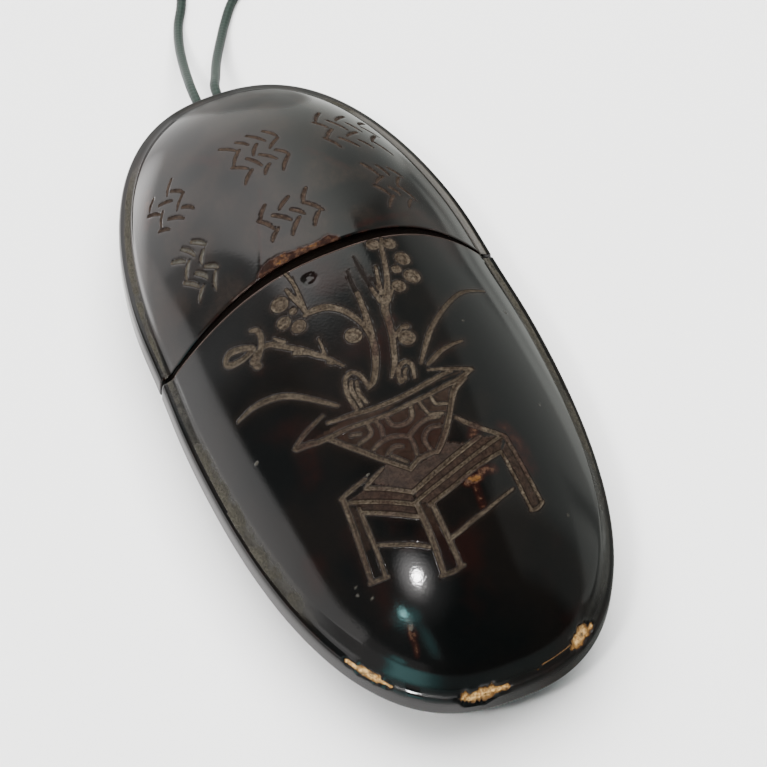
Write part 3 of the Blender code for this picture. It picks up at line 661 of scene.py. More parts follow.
# the tips of the tall leaves are darker, in the painted shade colour beside the cuts, and the bud beside them
# has no dust but a painted shade arc on one side
tall_tips = smooth_step(body_outer[:, 1], 0.5, 3.5) * (np.abs(body_outer[:, 0] - 1.3) < 1.9)
body_edge = np.minimum(body_edge, 1.4 - 0.55 * tall_tips)
clean_bud = bud_places[4]
shade_radius = 0.72
shaded = [
    (clean_bud[0] + shade_radius * np.cos(angle), clean_bud[1] + shade_radius * np.sin(angle))
    for angle in np.radians(np.linspace(15, 200, 7))
]
body_edge = np.maximum(body_edge, np.clip(0.88 - from_line(body_outer, shaded) / CUT_REACH, 0, 0.802))
for x, y, radius in bud_places:
    if (x, y, radius) == clean_bud:
        continue
    from_bud = from_dot(body_outer, x, y)
    body_rub = np.maximum(body_rub, 0.5 * smooth_step(from_bud, radius + 0.6, radius))
    body_edge = np.maximum(body_edge, np.clip(1 - (from_bud - radius + 0.05) / CUT_REACH, 0, 1.4))
# the rim is rubbed: to the red ground here and there, and dull at the body's end, but for one clear spot
level_gap = np.abs(body_outer[:, 2] - RIM_HEIGHT)
rim_line = smooth_step(np.abs(ledge_inset), 0.5, 0.1) * smooth_step(level_gap, 0.7, 0.1)
red = np.maximum(red, 0.6 * rim_line * smooth_step(wobble(body_outer, 3.0), -0.3, 0.6))
end_rim = smooth_step(ledge_inset, 1.2, 0.8) * smooth_step(level_gap, 1.2, 0.7)
body_blur = end_rim * smooth_step(body_outer[:, 0], -13.8, -12.8) * smooth_step(body_outer[:, 1], -36, -39)
body_blur *= 1 - 0.9 * smooth_step(np.abs(body_outer[:, 0] + 11.4), 0.9, 0.5)


def new_material(name, roughness, shine=0.5):
    """A new material, its node tree and its shader."""
    material = bpy.data.materials.new(name)
    material.use_nodes = True
    tree = material.node_tree
    shader = tree.nodes["Principled BSDF"]
    shader.inputs["Roughness"].default_value = roughness
    shader.inputs["Specular IOR Level"].default_value = shine
    return material, tree, shader


def feed(tree, socket, value):
    """Links another node's output to an input, or sets the input to a number or colour."""
    if isinstance(value, bpy.types.NodeSocket):
        tree.links.new(value, socket)
    else:
        socket.default_value = value


def add_node(tree, kind, **values):
    """A node of a kind. A value goes to the input of that name, or to the setting if no input has it."""
    node = tree.nodes.new(kind)
    for key, value in values.items():
        if key in node.inputs:
            feed(tree, node.inputs[key], value)
        else:
            setattr(node, key, value)
    return node


def blend(tree, share, first, second):
    """The colour that goes from the first to the second as share goes from 0 to 1."""
    node = add_node(tree, "ShaderNodeMix", data_type="RGBA")
    feed(tree, node.inputs[0], share)
    for socket, colour in ((node.inputs[6], first), (node.inputs[7], second)):
        feed(tree, socket, (*colour, 1) if isinstance(colour, tuple) else colour)
    return node.outputs[2]


def sums(tree, operation, *values):
    """Arithmetic on numbers or sockets, carried on from each value to the next."""
    total = values[0]
    for value in values[1:]:
        node = add_node(tree, "ShaderNodeMath", operation=operation)
        feed(tree, node.inputs[0], total)
        feed(tree, node.inputs[1], value)
        total = node.outputs[0]
    return total


def ramp(tree, value, start, end, low=0.0, high=1.0):
    """low up to start, high from end on, and a smooth step between."""
    node = add_node(tree, "ShaderNodeMapRange", interpolation_type="SMOOTHSTEP", Value=value)
    for key, number in (("From Min", start), ("From Max", end), ("To Min", low), ("To Max", high)):
        node.inputs[key].default_value = number
    return node.outputs[0]


def noise(tree, size, detail=2.0, rough=0.5, place=(0, 0, 0)):
    """Noise on the piece's own coordinates, with features about size millimetres wide."""
    where = tree.nodes.new("ShaderNodeTexCoord").outputs["Object"]
    where = add_node(tree, "ShaderNodeMapping", Vector=where, Scale=[1 / MM] * 3, Location=place).outputs[0]
    made = add_node(tree, "ShaderNodeTexNoise", Vector=where, Scale=1 / size, Detail=detail, Roughness=rough)
    return made.outputs[0]


def named_value(tree, name):
    """The numbers of that name that point_values gives a piece."""
    return add_node(tree, "ShaderNodeAttribute", attribute_name=name).outputs["Fac"]


def lacquer_material():
    """Glossy near-black lacquer over a red ground and brown wood. Dust dulls the cuts and the ledge. Shade in
    and beside the cuts, and highlights on the right crests and on part of the lid's mouth edge, are painted.
    """
    material, tree, shader = new_material("black_brown_lacquer", roughness=0.12)
    cut, edge, dust, bare, red, rub, blur, wood = (
        named_value(tree, name) for name in ("cut", "edge", "dust", "bare", "red", "rub", "blur", "wood")
    )
    cloud = ramp(tree, noise(tree, 13, 3), 0.42, 0.62)
    red_cloud = ramp(tree, noise(tree, 8, 3, place=(30, 10, 0)), 0.56, 0.76, 0.0, 0.5)
    uneven = ramp(tree, noise(tree, 0.9, 3), 0.3, 0.65, 0.6, 1.15)
    thin = sums(tree, "MULTIPLY", red, uneven)
    grain = ramp(tree, noise(tree, 0.34, 4, 0.75), 0.36, 0.64)
    black = blend(tree, cloud, (0.0015, 0.0018, 0.0018), (0.0030, 0.0026, 0.0023))
    worn = blend(tree, grain, (0.0097, 0.0058, 0.0041), (0.0235, 0.0152, 0.0110))
    black = blend(tree, sums(tree, "MULTIPLY", rub, uneven), black, worn)
    # the lightest worn colour, for the heaviest wear; along part of the lid's mouth edge it paints a
    # highlight
    black = blend(tree, ramp(tree, rub, 0.85, 1.0), black, (0.050, 0.036, 0.031))
    ground_red = sums(tree, "MAXIMUM", red_cloud, ramp(tree, thin, 0, 1))
    colour = blend(tree, ground_red, black, (0.0085, 0.0028, 0.0022))
    orange = blend(tree, grain, (0.0140, 0.0062, 0.0040), (0.0420, 0.0220, 0.0135))
    bright_orange = blend(tree, grain, (0.0330, 0.0140, 0.0040), (0.1000, 0.0460, 0.0110))
    colour = blend(tree, ramp(tree, thin, 0.7, 1.0), colour, orange)
    colour = blend(tree, ramp(tree, thin, 1.1, 1.4), colour, bright_orange)
    colour = blend(tree, wood, colour, (0.0070, 0.0048, 0.0036))
    slack = ramp(tree, noise(tree, 2.6, 4), 0.38, 0.62)
    dust_grain = ramp(tree, noise(tree, 0.22, 5, 0.8), 0.36, 0.64)
    dusty = blend(tree, dust_grain, (0.0120, 0.0107, 0.0084), (0.052, 0.048, 0.037))
    mottle = ramp(tree, sums(tree, "MULTIPLY", dust, ramp(tree, slack, 0, 1, 0.55, 1.0)), 0.02, 0.9)
    # a cut is painted darker toward its floor than at its edges, as shade in the groove; patches of the
    # darker colour also lie at random
    floor_of_cut = blend(tree, grain, (0.0090, 0.0060, 0.0041), (0.0300, 0.0216, 0.0150))
    edge_of_cut = blend(tree, grain, (0.0150, 0.0112, 0.0076), (0.0610, 0.0490, 0.0350))
    in_cut = blend(tree, ramp(tree, cut, 0.5, 0.9), edge_of_cut, floor_of_cut)
    patches = ramp(tree, noise(tree, 1.7, 3, place=(5, 0, 0)), 0.38, 0.62, 0.0, 0.6)
    in_cut = blend(tree, patches, in_cut, floor_of_cut)
    red_cut = blend(tree, grain, (0.0085, 0.0045, 0.0036), (0.0300, 0.0180, 0.0140))
    in_cut = blend(tree, ramp(tree, red, 0.1, 0.5, 0.0, 0.75), in_cut, red_cut)
    share_cut = ramp(tree, edge, 0.90, 0.96)
    # a thin dark, dull ring along the edge of each cut is painted shade
    painted_shade_beside_cut = ramp(tree, edge, 0.78, 0.88)
    colour = blend(tree, painted_shade_beside_cut, colour, (0.0045, 0.0030, 0.0024))
    colour = blend(tree, share_cut, colour, in_cut)
    # pale where the dust is heaviest, and on the painted crest highlights
    dusty = blend(tree, ramp(tree, dust, 1.0, 1.5), dusty, (0.088, 0.084, 0.077))
    colour = blend(tree, mottle, colour, dusty)
    ochre = blend(tree, grain, (0.22, 0.105, 0.030), (0.66, 0.43, 0.17))
    ochre = blend(tree, ramp(tree, noise(tree, 1.5, 4), 0.54, 0.68), ochre, (0.075, 0.058, 0.040))
    ochre = blend(tree, ramp(tree, bare, 0.45, 0.95), (0.090, 0.042, 0.013), ochre)
    broken = ramp(tree, bare, 0.42, 0.56)
    colour = blend(tree, broken, colour, ochre)
    tree.links.new(colour, shader.inputs["Base Color"])
    worn_off = ramp(tree, rub, 0.72, 0.84, 0.0, 0.75)
    dull = sums(tree, "MAXIMUM", painted_shade_beside_cut, mottle, broken, wood, worn_off)
    haze = ramp(tree, noise(tree, 5, 3), 0.35, 0.75, 0.06, 0.11)
    roughness = sums(tree, "ADD", haze, sums(tree, "MULTIPLY", blur, 0.4), sums(tree, "MULTIPLY", dull, 0.5))
    tree.links.new(roughness, shader.inputs["Roughness"])
    rubbed_shine = ramp(tree, rub, 0.72, 0.84, 1.0, 0.3)
    shine = sums(tree, "MULTIPLY", ramp(tree, dull, 0.3, 0.9, 0.5, 0.15), rubbed_shine)
    tree.links.new(shine, shader.inputs["Specular IOR Level"])
    where = tree.nodes.new("ShaderNodeTexCoord").outputs["Object"]
    along_case = add_node(tree, "ShaderNodeSeparateXYZ", Vector=where)
    stipple = ramp(tree, along_case.outputs[1], -22 * MM, -32 * MM, 0.4, 0.8)
    skin = sums(tree, "ADD", sums(tree, "MULTIPLY", noise(tree, 0.26, 2), stipple), noise(tree, 6, 1))
    fine = add_node(tree, "ShaderNodeBump", Height=skin, Strength=0.10, Distance=0.00008)
    coarse = add_node(
        tree, "ShaderNodeBump", Height=sums(tree, "MULTIPLY", grain, dull), Strength=0.6, Distance=0.00006,
        Normal=fine.outputs[0],
    )
    tree.links.new(coarse.outputs[0], shader.inputs["Normal"])
    return material


def new_piece(name, points, faces, material):
    """A smooth mesh of quads and triangles, from millimetres. A triangle repeats its last corner."""
    mesh = bpy.data.meshes.new(name)
    polygons = [list(dict.fromkeys(corners)) for corners in faces.tolist()]
    mesh.from_pydata((points.reshape(-1, 3) * MM).tolist(), [], polygons)
    mesh.shade_smooth()
    mesh.materials.append(material)
    piece = bpy.data.objects.new(name, mesh)
    bpy.context.scene.collection.objects.link(piece)
    return piece


def point_values(piece, name, values):
    """One number for each point of the piece, which its material reads by that name."""
    layer = piece.data.attributes.new(name, "FLOAT", "POINT")
    layer.data.foreach_set("value", np.asarray(values, np.float32).ravel())


def finish_wood(piece, outside, **values):
    """Gives a half its named values outside, and bare brown wood inside."""
    inside = len(piece.data.vertices) - outside
    for name, value in values.items():
        point_values(piece, name, np.r_[value, np.zeros(inside)])
    point_values(piece, "wood", np.r_[np.zeros(outside), np.full(inside, 0.9)])


lacquer = lacquer_material()
case_body = new_piece("carved_body", body_points, body_faces, lacquer)
body_cut = np.clip(body_cut / 0.28, 0, 1)
finish_wood(
    case_body, body_outside, cut=body_cut, edge=body_edge, dust=ledge_dust, bare=bare, red=red,
    rub=body_rub, blur=body_blur,
)
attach(case_body, "root")
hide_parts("case_body")

# The lid
# The shorter half, which stands a hair proud and gapes a little at the top. Six small blocks of worn marks
# are cut in two rows, and two small holes in its end take the cord. The edge of its mouth is rubbed to the
# red ground, and one fine crack runs up from it.
lid = Half(end=1, gap=0.35, lean=tan(radians(2.2)), proud=0.3)
lid_length = LENGTH / 2 - SEAM - lid.gap
lid_v = steps_from_mouth(lid_length, edge_steps, fine=0.17, end_step=0.4)
lid_u = steps_across(240)
lid_stops = [(0, 0.5), (0, 1.15), (2.5, 1.15), (4.9, 1.15), (4.9, 2.2)]
lid_stops += [(past, WALL) for past in (8, 12, 17, 22, 26, 29, 30.7, 31.4)]
lid_points, lid_faces, lid_outside = half_mesh(
    lid, lid_u, lid_v, band_rows=12, back_rows=9, stops=lid_stops
)
hole_drop = 1.6
hole_left = -1.8
hole_right = 0.8
hole_radius = 0.95
hole_depth = 1.7
# each block: its middle, its width and height, and how deep and how dusty its cuts are
mark_places = [
    (-13.2, 27.2, 4.6, 6.6, 0.18, 0.0),
    (-2.0, 26.3, 7.2, 7.4, 0.20, 0.0),
    (10.4, 27.7, 8.8, 7.2, 0.20, 0.1),
    (-13.9, 16.3, 3.8, 8.0, 0.26, 1.3),
    (-2.4, 15.9, 8.0, 5.6, 0.20, 0.0),
    (11.4, 17.2, 5.0, 7.2, 0.20, 0.25),
]
dusty_block = 3


def block_strokes(block, x, y, wide, high):
    """Rows of short slanting cuts, which lean one way in a row and the other way in the next.

    They spell nothing.
    """
    rows = 4 if high > 6 else 3
    fewest = 3 if wide > 6 else 2
    broad = 1.3 if block == dusty_block else 1.0
    for row in range(rows):
        lean = (-1) ** (row + block)
        middle = y + high * (0.5 - (row + 0.5) / rows)
        count = fewest + (row + block) % 2
        for place in range(count):
            across = x + wide * ((place + 0.5) / count - 0.5)
            reach = high / rows * (0.34 + 0.1 * ((row + 2 * place + block) % 3))
            slide = lean * (0.30 + 0.12 * ((place + block) % 2)) * wide / (fewest + 1)
            yield [
                (across - slide, middle - reach, 0.16 * broad),
                (across - 0.15 * lean, middle, 0.36 * broad),
                (across + slide, middle + reach, 0.28 * broad),
            ]


lid_outer = lid_points[:lid_outside].copy()
crest_share = np.zeros(len(lid_points))
crest_share[:lid_outside] = 0.5 * on_crest(lid_outer, 1.3)
lid_points = soften(lid_points, lid_faces, crest_share, rounds=14)
lid_outer = lid_points[:lid_outside].copy()
lid_face = facing(lid_points, lid_faces)[:lid_outside]
lid_cut, lid_tone, lid_edge, lid_rub, lid_red, mark_dust = (np.zeros(lid_outside) for _ in range(6))
for block, (x, y, wide, high, depth, tone) in enumerate(mark_places):
    marks, near_marks = stroke_depth(lid, lid_outer, list(block_strokes(block, x, y, wide, high)), depth)
    lid_cut = np.maximum(lid_cut, marks)
    lid_edge = np.maximum(lid_edge, 1.8 * near_marks - 0.8)
    lid_tone = np.maximum(lid_tone, 0.9 * np.clip(marks / depth, 0, 1))
    lid_red = np.maximum(lid_red, 0.4 * np.clip(near_marks, 0, 1) ** 2 * (block != dusty_block))
    mark_dust = np.maximum(mark_dust, np.clip(2 * marks / depth, 0, 1) * tone)
lid_rub = np.maximum(lid_rub, 0.5 * np.clip(lid_edge, 0, 1) ** 2)
lid_front = lid_outer[:, 2] > RIM_HEIGHT
lid_rub = np.maximum(lid_rub, 0.3 * smooth_step(wobble(lid_outer, 9), -0.8, 0.6) * lid_front)
lid_blur = smooth_step(from_line(lid_outer, [(-2, 43.5), (0.0, 40.5), (5.0, 37.5)]), 5.5, 3.0)
lid_cut *= 1 + 0.2 * wobble(lid_outer, 0.9)
crack_line = [(-4, 21.1), (-4.9, 18.6), (-6.4, 15.9), (-7.2, 13.4), (-8.4, 10.4)]
crack = smooth_step(from_line(lid_outer, crack_line), 0.3, 0.05)
crack *= smooth_step(lid_outer[:, 2], RIM_HEIGHT, RIM_HEIGHT + 2)
ragged = 1 + 0.22 * wobble(lid_outer, 3.1) + 0.08 * wobble(lid_outer, 1.1, 1.0)
upward = lid_outer[:, 2] > RIM_HEIGHT + 0.02
rubbed = from_line(lid_outer, [(-7.9, 10.3), (-6, 10.5), (-3.6, 10.2)])
rubbed = np.minimum(rubbed, from_line(lid_outer, [(-3.6, 10.2), (-1.5, 10.3), (1.2, 10.5)]) + 0.3)
rubbed = upward * smooth_step(rubbed / ragged, 1.2, 0.75)
stripe = from_line(lid_outer, [(-6.2, 10.7), (-3.8, 10.9), (-1.4, 10.8), (0.6, 11.2)])
stripe = rubbed * smooth_step(stripe / ragged, 0.65, 0.2)
holes = np.zeros(lid_outside)
for hole in (hole_left, hole_right):
    away = np.hypot(lid_outer[:, 0] - hole, lid_outer[:, 2] - RIM_HEIGHT + hole_drop)
    holes += hole_depth * smooth_step(away, hole_radius, 0.72) * (lid_outer[:, 1] > LENGTH / 2 - 2)
lid_rub = np.maximum(lid_rub, 0.84 * rubbed)
lid_depth = lid_cut + edge_rounding(lid, lid_outer, radius=0.3) + 0.04 * crack + 0.015 * rubbed + holes
lid_points[:lid_outside] -= lid_face * lid_depth[:, None]

ledge_inset = from_outline(lid_outer)
lid_dust = upward * smooth_step(ledge_inset, 0.0, 0.4) * smooth_step(ledge_inset, 1.8, 1.35)
lid_dust *= (lid_outer[:, 2] < RIM_HEIGHT + 1.4) * (0.75 + 0.6 * smooth_step(lid_outer[:, 0], 2, 12))
# a painted highlight along the right crest, given as pale dust
lid_dust = np.maximum(lid_dust, 1.4 * on_crest(lid_outer, 0.7) * smooth_step(lid_outer[:, 0], 6, 14))
lid_dust *= 1 - 0.9 * smooth_step(lid_outer[:, 1], 34, 41)
lid_dust = np.maximum.reduce([lid_dust, mark_dust, 0.8 * smooth_step(holes, 0.2, 1.2)])
worn_patch = np.minimum(rubbed * 0.8 + stripe * (0.4 + 0.5 * wobble(lid_outer, 0.7, 3.0)), 1.12)
lid_red = np.maximum.reduce([lid_red, 0.6 * crack, worn_patch])
lid_thin_places = [
    ([(-13.9, 32.1), (-15.8, 27.6)], 0.8, 0.8), ([(-8.5, 31), (-6.5, 28.2)], 1.0, 0.5),
    ([(3.5, 24.5), (6.8, 20.5)], 0.8, 0.4), ([(13.8, 13.2), (10.0, 12.2), (4, 11.4)], 0.6, 0.55),
]
for line, wide, strength in lid_thin_places:
    lid_red = np.maximum(lid_red, strength * smooth_step(from_line(lid_outer, line), wide * 1.4, 0.1))
edge_line = smooth_step(lid_outer[:, 1] - lid.mouth(lid_outer[:, 0], lid_outer[:, 2] - RIM_HEIGHT), 0.5, 0.1)
lid_red = np.maximum(lid_red, 0.7 * edge_line * smooth_step(wobble(lid_outer, 3.0), -0.4, 0.5))
# on the left part of the lid's mouth edge a light line is a painted highlight, given as the heaviest wear
painted_highlight_span = smooth_step(lid_outer[:, 0], -8.6, -9.6) * smooth_step(lid_outer[:, 0], -15, -12)
lid_rub = np.maximum(lid_rub, edge_line * painted_highlight_span * lid_front)
case_lid = new_piece("carved_lid", lid_points, lid_faces, lacquer)
finish_wood(
    case_lid, lid_outside, cut=lid_tone, edge=lid_edge, dust=lid_dust, bare=np.zeros(lid_outside),
    red=lid_red, rub=lid_rub, blur=lid_blur,
)
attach(case_lid, "root")
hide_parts("lid")

# The silk cord
# One length of plaited silk. Both ends come out of the lid's end, and the loop between them is put away in a
# small coil of two layers, of three turns each, on the surface behind the lid.
CORD_DIAMETER = 1.2
cord_start = 42.3
on_floor = CORD_DIAMETER / 2
coil_middle = np.array([12.5, 76.8])
turn_radii = np.array([7.2, 6.0, 4.8, 4.8, 6.0, 7.2])
turn_count = 6.5
step_starts = 0.72
plait_ridges = 4
tie_thickness = 0.5
coil_lift = tie_thickness + 0.3
cord_end_y = LENGTH / 2
left_route = [
    (hole_left, cord_start, RIM_HEIGHT - hole_drop),
    (hole_left, cord_end_y + 0.8, RIM_HEIGHT - hole_drop),
    (-1.3, cord_end_y + 4.0, RIM_HEIGHT - 2.9),
    (0.2, cord_end_y + 10.0, RIM_HEIGHT - 6.5),
    (1.8, cord_end_y + 15.2, 2.0),
    (3.4, cord_end_y + 19.1, on_floor),
    (5.0, cord_end_y + 21.9, on_floor),
    (5.7, cord_end_y + 24.1, on_floor),
    (5.54, cord_end_y + 26.58, on_floor),
    (5.3, cord_end_y + 29.0, on_floor + 0.2),
]
right_route = [
    (hole_right, cord_start, RIM_HEIGHT - hole_drop),
    (hole_right, cord_end_y + 0.8, RIM_HEIGHT - hole_drop),
    (1.8, cord_end_y + 3.4, RIM_HEIGHT - 3.0),
    (4.2, cord_end_y + 8.7, RIM_HEIGHT - 6.7),
    (6.7, cord_end_y + 13.3, 1.9),
    (8.9, cord_end_y + 16.9, on_floor),
    (11.0, cord_end_y + 19.5, on_floor),
    (14.0, cord_end_y + 22.1, on_floor),
    (17.72, cord_end_y + 24.84, on_floor),
    (19.6, cord_end_y + 28.2, on_floor + 0.5),
]


def coil_turns():
    """Clockwise turns. Near its end each steps to the radius of the next, and the third climbs a layer."""
    turns = np.linspace(0, turn_count, 480)
    step = np.clip((turns - np.floor(turns) - step_starts) / (1 - step_starts), 0, 1)
    ease = step * step * (3 - 2 * step)
    last = len(turn_radii) - 1
    here = np.minimum(np.floor(turns).astype(int), last)
    after = np.minimum(here + 1, last)
    radius = turn_radii[here] + (turn_radii[after] - turn_radii[here]) * ease
    layer = np.where(here > 2, 1, np.where(here == 2, ease, 0))
    angle = pi - 2 * pi * turns
    x, y = radius * np.cos(angle), radius * np.sin(angle)
    tilt = coil_lift / 12
    height = CORD_DIAMETER * (0.5 + layer) + coil_lift / 2 + y * tilt
    return np.stack([coil_middle[0] + x, coil_middle[1] + y, height], axis=1)


def tube(path, radius, around, plait=0.0, lay=1.0):
    """Circles carried along a path, each square to it, with two sets of ridges that wind round it.

    Returns the points, ending with the two ends' middles, and how near each is to a ridge's top.
    """
    heading = np.gradient(path, axis=0)
    heading /= np.linalg.norm(heading, axis=1)[:, None]
    side = np.cross(heading, (0, 0, 1))
    side /= np.linalg.norm(side, axis=1)[:, None]
    rise = np.cross(side, heading)
    angle = np.linspace(0, 2 * pi, around, endpoint=False)
    along = np.r_[0, np.cumsum(np.linalg.norm(np.diff(path, axis=0), axis=1))][:, None]
    wind = 2 * pi * along / lay
    ridges = np.cos(plait_ridges * angle + wind) * np.cos(plait_ridges * angle - wind)
    reach = (radius * (1 - plait + plait * ridges))[..., None]
    points = path[:, None] + reach * (
        np.cos(angle)[None, :, None] * side[:, None] + np.sin(angle)[None, :, None] * rise[:, None]
    )
    points = np.vstack([points.reshape(-1, 3), path[:1], path[-1:]])
    return points, np.r_[0.5 + 0.5 * ridges.ravel(), 0.5, 0.5]


def tube_faces(rows, around):
    """The quads of a tube, and a fan at each end round a point that is added after the others."""
    side = rows_of_quads(rows, around, True)[:, ::-1]
    first, last = side[:around, [2, 3]], side[-around:, [0, 1]]
    number = rows * around
    fans = [np.stack([first[:, 1], first[:, 0], *[np.full(around, number)] * 2], axis=1)]
    fans.append(np.stack([last[:, 1], last[:, 0], *[np.full(around, number + 1)] * 2], axis=1))
    return np.vstack([side, *fans])


def cord_material():
    """Grey-green silk with painted shade: lighter on the plait's ridges and darker between the threads."""
    material, tree, shader = new_material("teal_silk", roughness=0.55, shine=0.35)
    shader.inputs["Sheen Weight"].default_value = 0.12
    shader.inputs["Sheen Roughness"].default_value = 0.4
    fibre = noise(tree, 0.12, 3)
    # the plait's ridges are painted lighter and the hollows between the threads darker, as shade
    raised = sums(tree, "MULTIPLY", named_value(tree, "ridge"), 0.6)
    tone = sums(tree, "ADD", sums(tree, "MULTIPLY", fibre, 0.5), raised)
    colour = blend(tree, ramp(tree, tone, 0.1, 0.9), (0.0065, 0.0110, 0.0090), (0.0210, 0.0320, 0.0260))
    tree.links.new(colour, shader.inputs["Base Color"])
    bump = add_node(tree, "ShaderNodeBump", Height=fibre, Strength=0.4, Distance=0.00005)
    tree.links.new(bump.outputs[0], shader.inputs["Normal"])
    return material


left_strand = smooth_route(left_route, 0.5)
right_strand = smooth_route(right_route, 0.5)
turns = coil_turns()
cord_path = smooth_route(np.vstack([left_strand[:-3:6], turns[6:-6:6], right_strand[-4::-6]]), 0.16)
cord_sides = 20
cord_points, ridge = tube(cord_path, 0.52 * CORD_DIAMETER, cord_sides, plait=0.04, lay=1.3)
silk = cord_material()
silk_cord = new_piece("silk_cord", cord_points, tube_faces(len(cord_path), cord_sides), silk)
point_values(silk_cord, "ridge", ridge)
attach(silk_cord, "root")
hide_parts("cord_left", "cord_right", "cord_coil")

# The thread that ties the coil
# A thinner silk thread of the same colour. It is wound five times round the coil's bundle of turns, on the
# side away from the case, and keeps the coil together.
tie_turns = 5
tie_pitch = 0.34
tie_radius = 0.17
tie_sides = 8
bundle_place = 6.0
bundle_half_wide = 2.15
bundle_half_high = 1.52
tie_angle = np.linspace(0, 2 * pi * tie_turns, 200)
tie_path = np.stack(
    [
        coil_middle[0] + tie_pitch * (tie_angle / (2 * pi) - tie_turns / 2),
        coil_middle[1] + bundle_place + bundle_half_wide * np.cos(tie_angle),
        CORD_DIAMETER + coil_lift / 2 + 0.4 + bundle_half_high * np.sin(tie_angle),
    ],
    axis=1,
)
tie_points, tie_ridge = tube(tie_path, tie_radius, tie_sides)
cord_tie = new_piece("tie_thread", tie_points, tube_faces(len(tie_path), tie_sides), silk)
point_values(cord_tie, "ridge", tie_ridge)
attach(cord_tie, "root")
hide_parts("cord_tie")

# The floor
# A plain pale sheet that the case lies on. The lacquer mirrors the room below instead of it.
floor_material, floor_tree, floor_shader = new_material("pale_floor", roughness=0.9, shine=0.1)
floor_cloud = ramp(floor_tree, noise(floor_tree, 60, 2), 0.3, 0.7)
floor_colour = blend(floor_tree, floor_cloud, (0.885, 0.885, 0.88), (0.90, 0.90, 0.895))
feed(floor_tree, floor_shader.inputs["Base Color"], floor_colour)
floor_reach = 1600
floor_points = np.array([(-1, -1, 0), (1, -1, 0), (1, 1, 0), (-1, 1, 0)], float) * floor_reach
floor_points[:, 2] = -0.02
floor = new_piece("floor", floor_points, np.array([[0, 1, 2, 3]]), floor_material)
floor.visible_glossy = False

# The room and the light
# The lacquer mirrors a room that is painted by direction: a broad soft panel behind the lid, pale walls on
# the left and right, and a dark near side. A small lamp on the left makes the white gleam, and slim
# blue-green lights make the streak below it. A soft light from straight above fills the cuts, and the
# lacquer doesn't mirror it.
world = bpy.data.worlds.new("room")
bpy.context.scene.world = world
world.use_nodes = True
room = world.node_tree
direction = room.nodes.new("ShaderNodeTexCoord").outputs["Generated"]
toward_x, toward_y, toward_z = add_node(room, "ShaderNodeSeparateXYZ", Vector=direction).outputs


def to_right(*numbers):
    """A smooth step by how far a direction points to the right. Its numbers are those of ramp."""
    return ramp(room, toward_x, *numbers)


def to_back(*numbers):
    """A smooth step by how far a direction points toward the back, behind the lid."""
    return ramp(room, toward_y, *numbers)


def to_top(*numbers):
    """A smooth step by how far a direction points up."""
    return ramp(room, toward_z, *numbers)


def times(*values):
    """The product of numbers and sockets."""
    return sums(room, "MULTIPLY", *values)


def brightest(*values):
    """The greatest of numbers and sockets."""
    return sums(room, "MAXIMUM", *values)


def glow_of(middle, turn, half_wide, half_long, *numbers):
    """A smooth step by how far a direction is from a lamp's middle, whose ellipse is turned by some degrees.

    The distance is 1 at the edge of the ellipse.
    """
    way = Vector(middle).normalized()
    turned = way.to_track_quat("Z", "Y").to_matrix() @ Matrix.Rotation(radians(turn), 3, "Z")
    spread = add_node(
        room, "ShaderNodeMapping", vector_type="TEXTURE", Vector=direction, Location=way,
        Rotation=turned.to_euler(), Scale=(half_wide, half_long, 1),
    )
    length = add_node(room, "ShaderNodeVectorMath", operation="LENGTH")
    room.links.new(spread.outputs[0], length.inputs[0])
    return ramp(room, length.outputs["Value"], *numbers)


# the panel behind the lid bends back on the left, and steps back on the right
left_part = sums(room, "MINIMUM", toward_x, 0.0)
left_bend = times(left_part, left_part, 0.25)
panel_edge = sums(room, "SUBTRACT", toward_y, left_bend, to_right(0.42, 0.52, 0.0, 0.07))
back_panel = times(
    ramp(room, panel_edge, 0.495, 0.535), to_right(0.0, 0.92, 2.25, 0.35), to_right(-0.95, -0.45, 0.45, 1.0),
    to_back(0.7, 1.0, 1.0, 0.72), to_top(-0.3, 0.05, 0.8, 1.0),
)
panel_glow = times(ramp(room, panel_edge, 0.2, 0.5, 0.0, 0.22), to_right(-0.9, -0.4), to_top(0.0, 0.4))
# the left wall has a slanting upper edge, and the walls' feet are paler than the walls
wall_edge = sums(
    room, "ADD", toward_z, times(toward_x, 0.45), times(toward_y, 0.4), to_back(0.42, -0.02, 0.0, 0.12)
)
left_wall = times(
    ramp(room, wall_edge, -0.165, -0.225), to_top(0.05, -0.2, 1.3, 1.7), to_top(-0.3, -0.6, 1.0, 0.6),
    to_right(-0.5, -0.7),
    brightest(to_back(-0.05, 0.3, 0.3, 1.0), times(to_back(-0.25, -0.19, 0.0, 0.95), to_top(-0.3, -0.12))),
)
left_low = times(
    to_top(-0.17, -0.42, 0.8, 5.2), to_top(-0.62, -0.45), to_back(0.5, 0.62), to_right(0.0, -0.45)
)
left_gloom = to_right(-0.2, -0.8, 0.015, 0.12)
right_edge = sums(room, "SUBTRACT", toward_x, times(toward_y, 0.5))
right_wall = times(
    to_right(0.42, 0.52),
    sums(room, "ADD", 0.23, times(0.24, ramp(room, right_edge, 0.48, 0.56), to_back(-0.15, 0.1))),
    to_back(-0.65, -0.42), brightest(to_back(0.15, 0.3), to_top(-0.3, -0.05, 0.6, 1.0)),
)
right_low = times(
    to_top(-0.44, -0.6), to_right(0.3, 0.7), to_back(0.25, 0.45, 0.4, 1.0), to_back(0.56, 0.48, 0.6, 0.85)
)
right_strip = times(to_right(0.89, 0.94), to_top(0.1, -0.1), to_back(0.3, 0.1, 0.0, 0.62))
right_foot = times(to_top(-0.38, -0.46), to_right(0.6, 0.75), to_back(0.15, 0.27, 0.0, 0.72))
straight_down = times(
    to_top(-0.45, -0.7), brightest(to_right(-0.15, 0.45, 1.3, 0.2), to_back(0.5, 0.6, 0.0, 0.6))
)
walls = brightest(
    back_panel, panel_glow, left_wall, left_low, left_gloom, right_wall, right_low, right_strip, right_foot,
    straight_down,
)
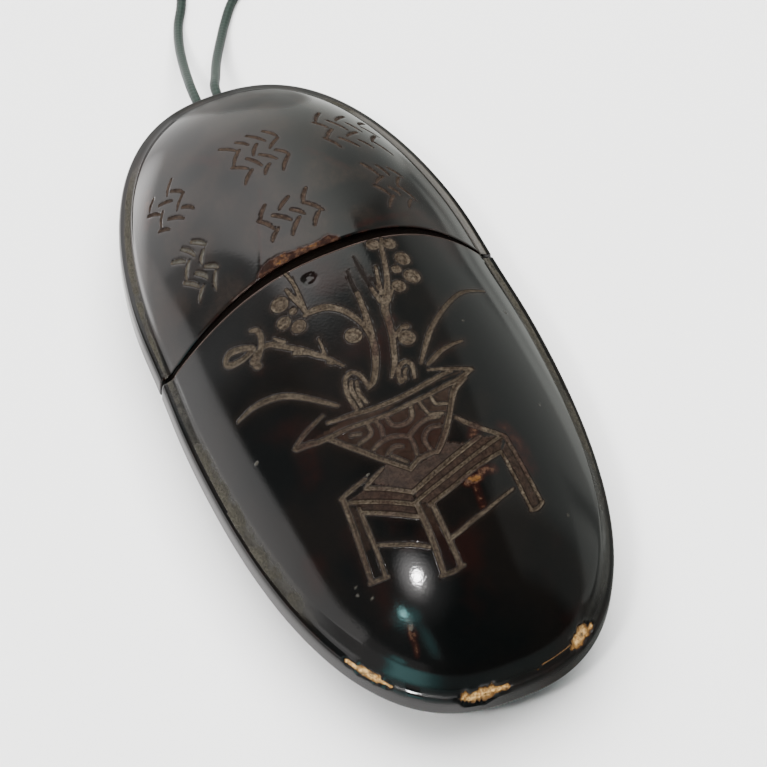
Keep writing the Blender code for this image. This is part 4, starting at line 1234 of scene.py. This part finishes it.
lamp = sums(
    room, "ADD",
    glow_of((-0.455, -0.312, 0.834), 58, 0.085, 0.049, 1.15, 0.4, 0.0, 230.0),
    glow_of((-0.475, -0.290, 0.831), 52, 0.21, 0.155, 1.5, 0.2, 0.0, 4.6),
    glow_of((-0.40, -0.38, 0.834), 52, 0.42, 0.30, 1.3, 0.2, 0.0, 0.4),
)
teal_streak = brightest(
    glow_of((-0.735, -0.395, 0.552), 30, 0.055, 0.015, 1.4, 0.5, 0.0, 32.0),
    glow_of((-0.715, -0.430, 0.550), 28, 0.095, 0.024, 1.4, 0.4, 0.0, 3.4),
    glow_of((-0.715, -0.433, 0.548), 40, 0.17, 0.065, 1.6, 0.5, 0.0, 1.0),
    glow_of((-0.541, -0.668, 0.511), -31, 0.17, 0.07, 1.5, 0.2, 0.0, 0.6),
)
teal_low = brightest(
    times(to_top(0.0, -0.22), to_back(-0.35, -0.5), to_right(-0.35, -0.85, 0.2, 1.55), to_top(-0.62, -0.45)),
    glow_of((-0.85, -0.52, 0.05), 0, 0.09, 0.12, 1.4, 0.4, 0.0, 1.1),
)
teal = brightest(teal_streak, teal_low)
glow = sums(room, "ADD", walls, lamp, teal)
tint = blend(room, to_right(-0.2, 0.6), (1.0, 0.975, 0.965), (0.97, 1.0, 0.94))
tint = blend(room, ramp(room, teal, 0.0, 0.5), tint, (0.45, 1.0, 1.0))
# past the floor the picture shows a plain pale ground in place of the painted room
in_picture = room.nodes.new("ShaderNodeLightPath").outputs["Is Camera Ray"]
ground = room.nodes["Background"]
feed(room, ground.inputs["Color"], blend(room, in_picture, tint, (0.93, 0.93, 0.93)))
feed(room, ground.inputs["Strength"], blend(room, in_picture, glow, (2.5, 2.5, 2.5)))

overhead_data = bpy.data.lights.new("overhead", "AREA")
overhead_size = 1400 * MM
overhead_radiance = 9.9
overhead_data.size = overhead_size
overhead_data.energy = overhead_radiance * pi * overhead_size**2
overhead = bpy.data.objects.new("overhead", overhead_data)
overhead_way = Vector((0.0, 0.2, 0.98))
overhead_distance = 1200
overhead_turn = overhead_way.to_track_quat("Z", "Y").to_matrix().to_4x4()
overhead.matrix_world = Matrix.Translation(overhead_way * overhead_distance * MM) @ overhead_turn
overhead.visible_glossy = False
bpy.context.scene.collection.objects.link(overhead)
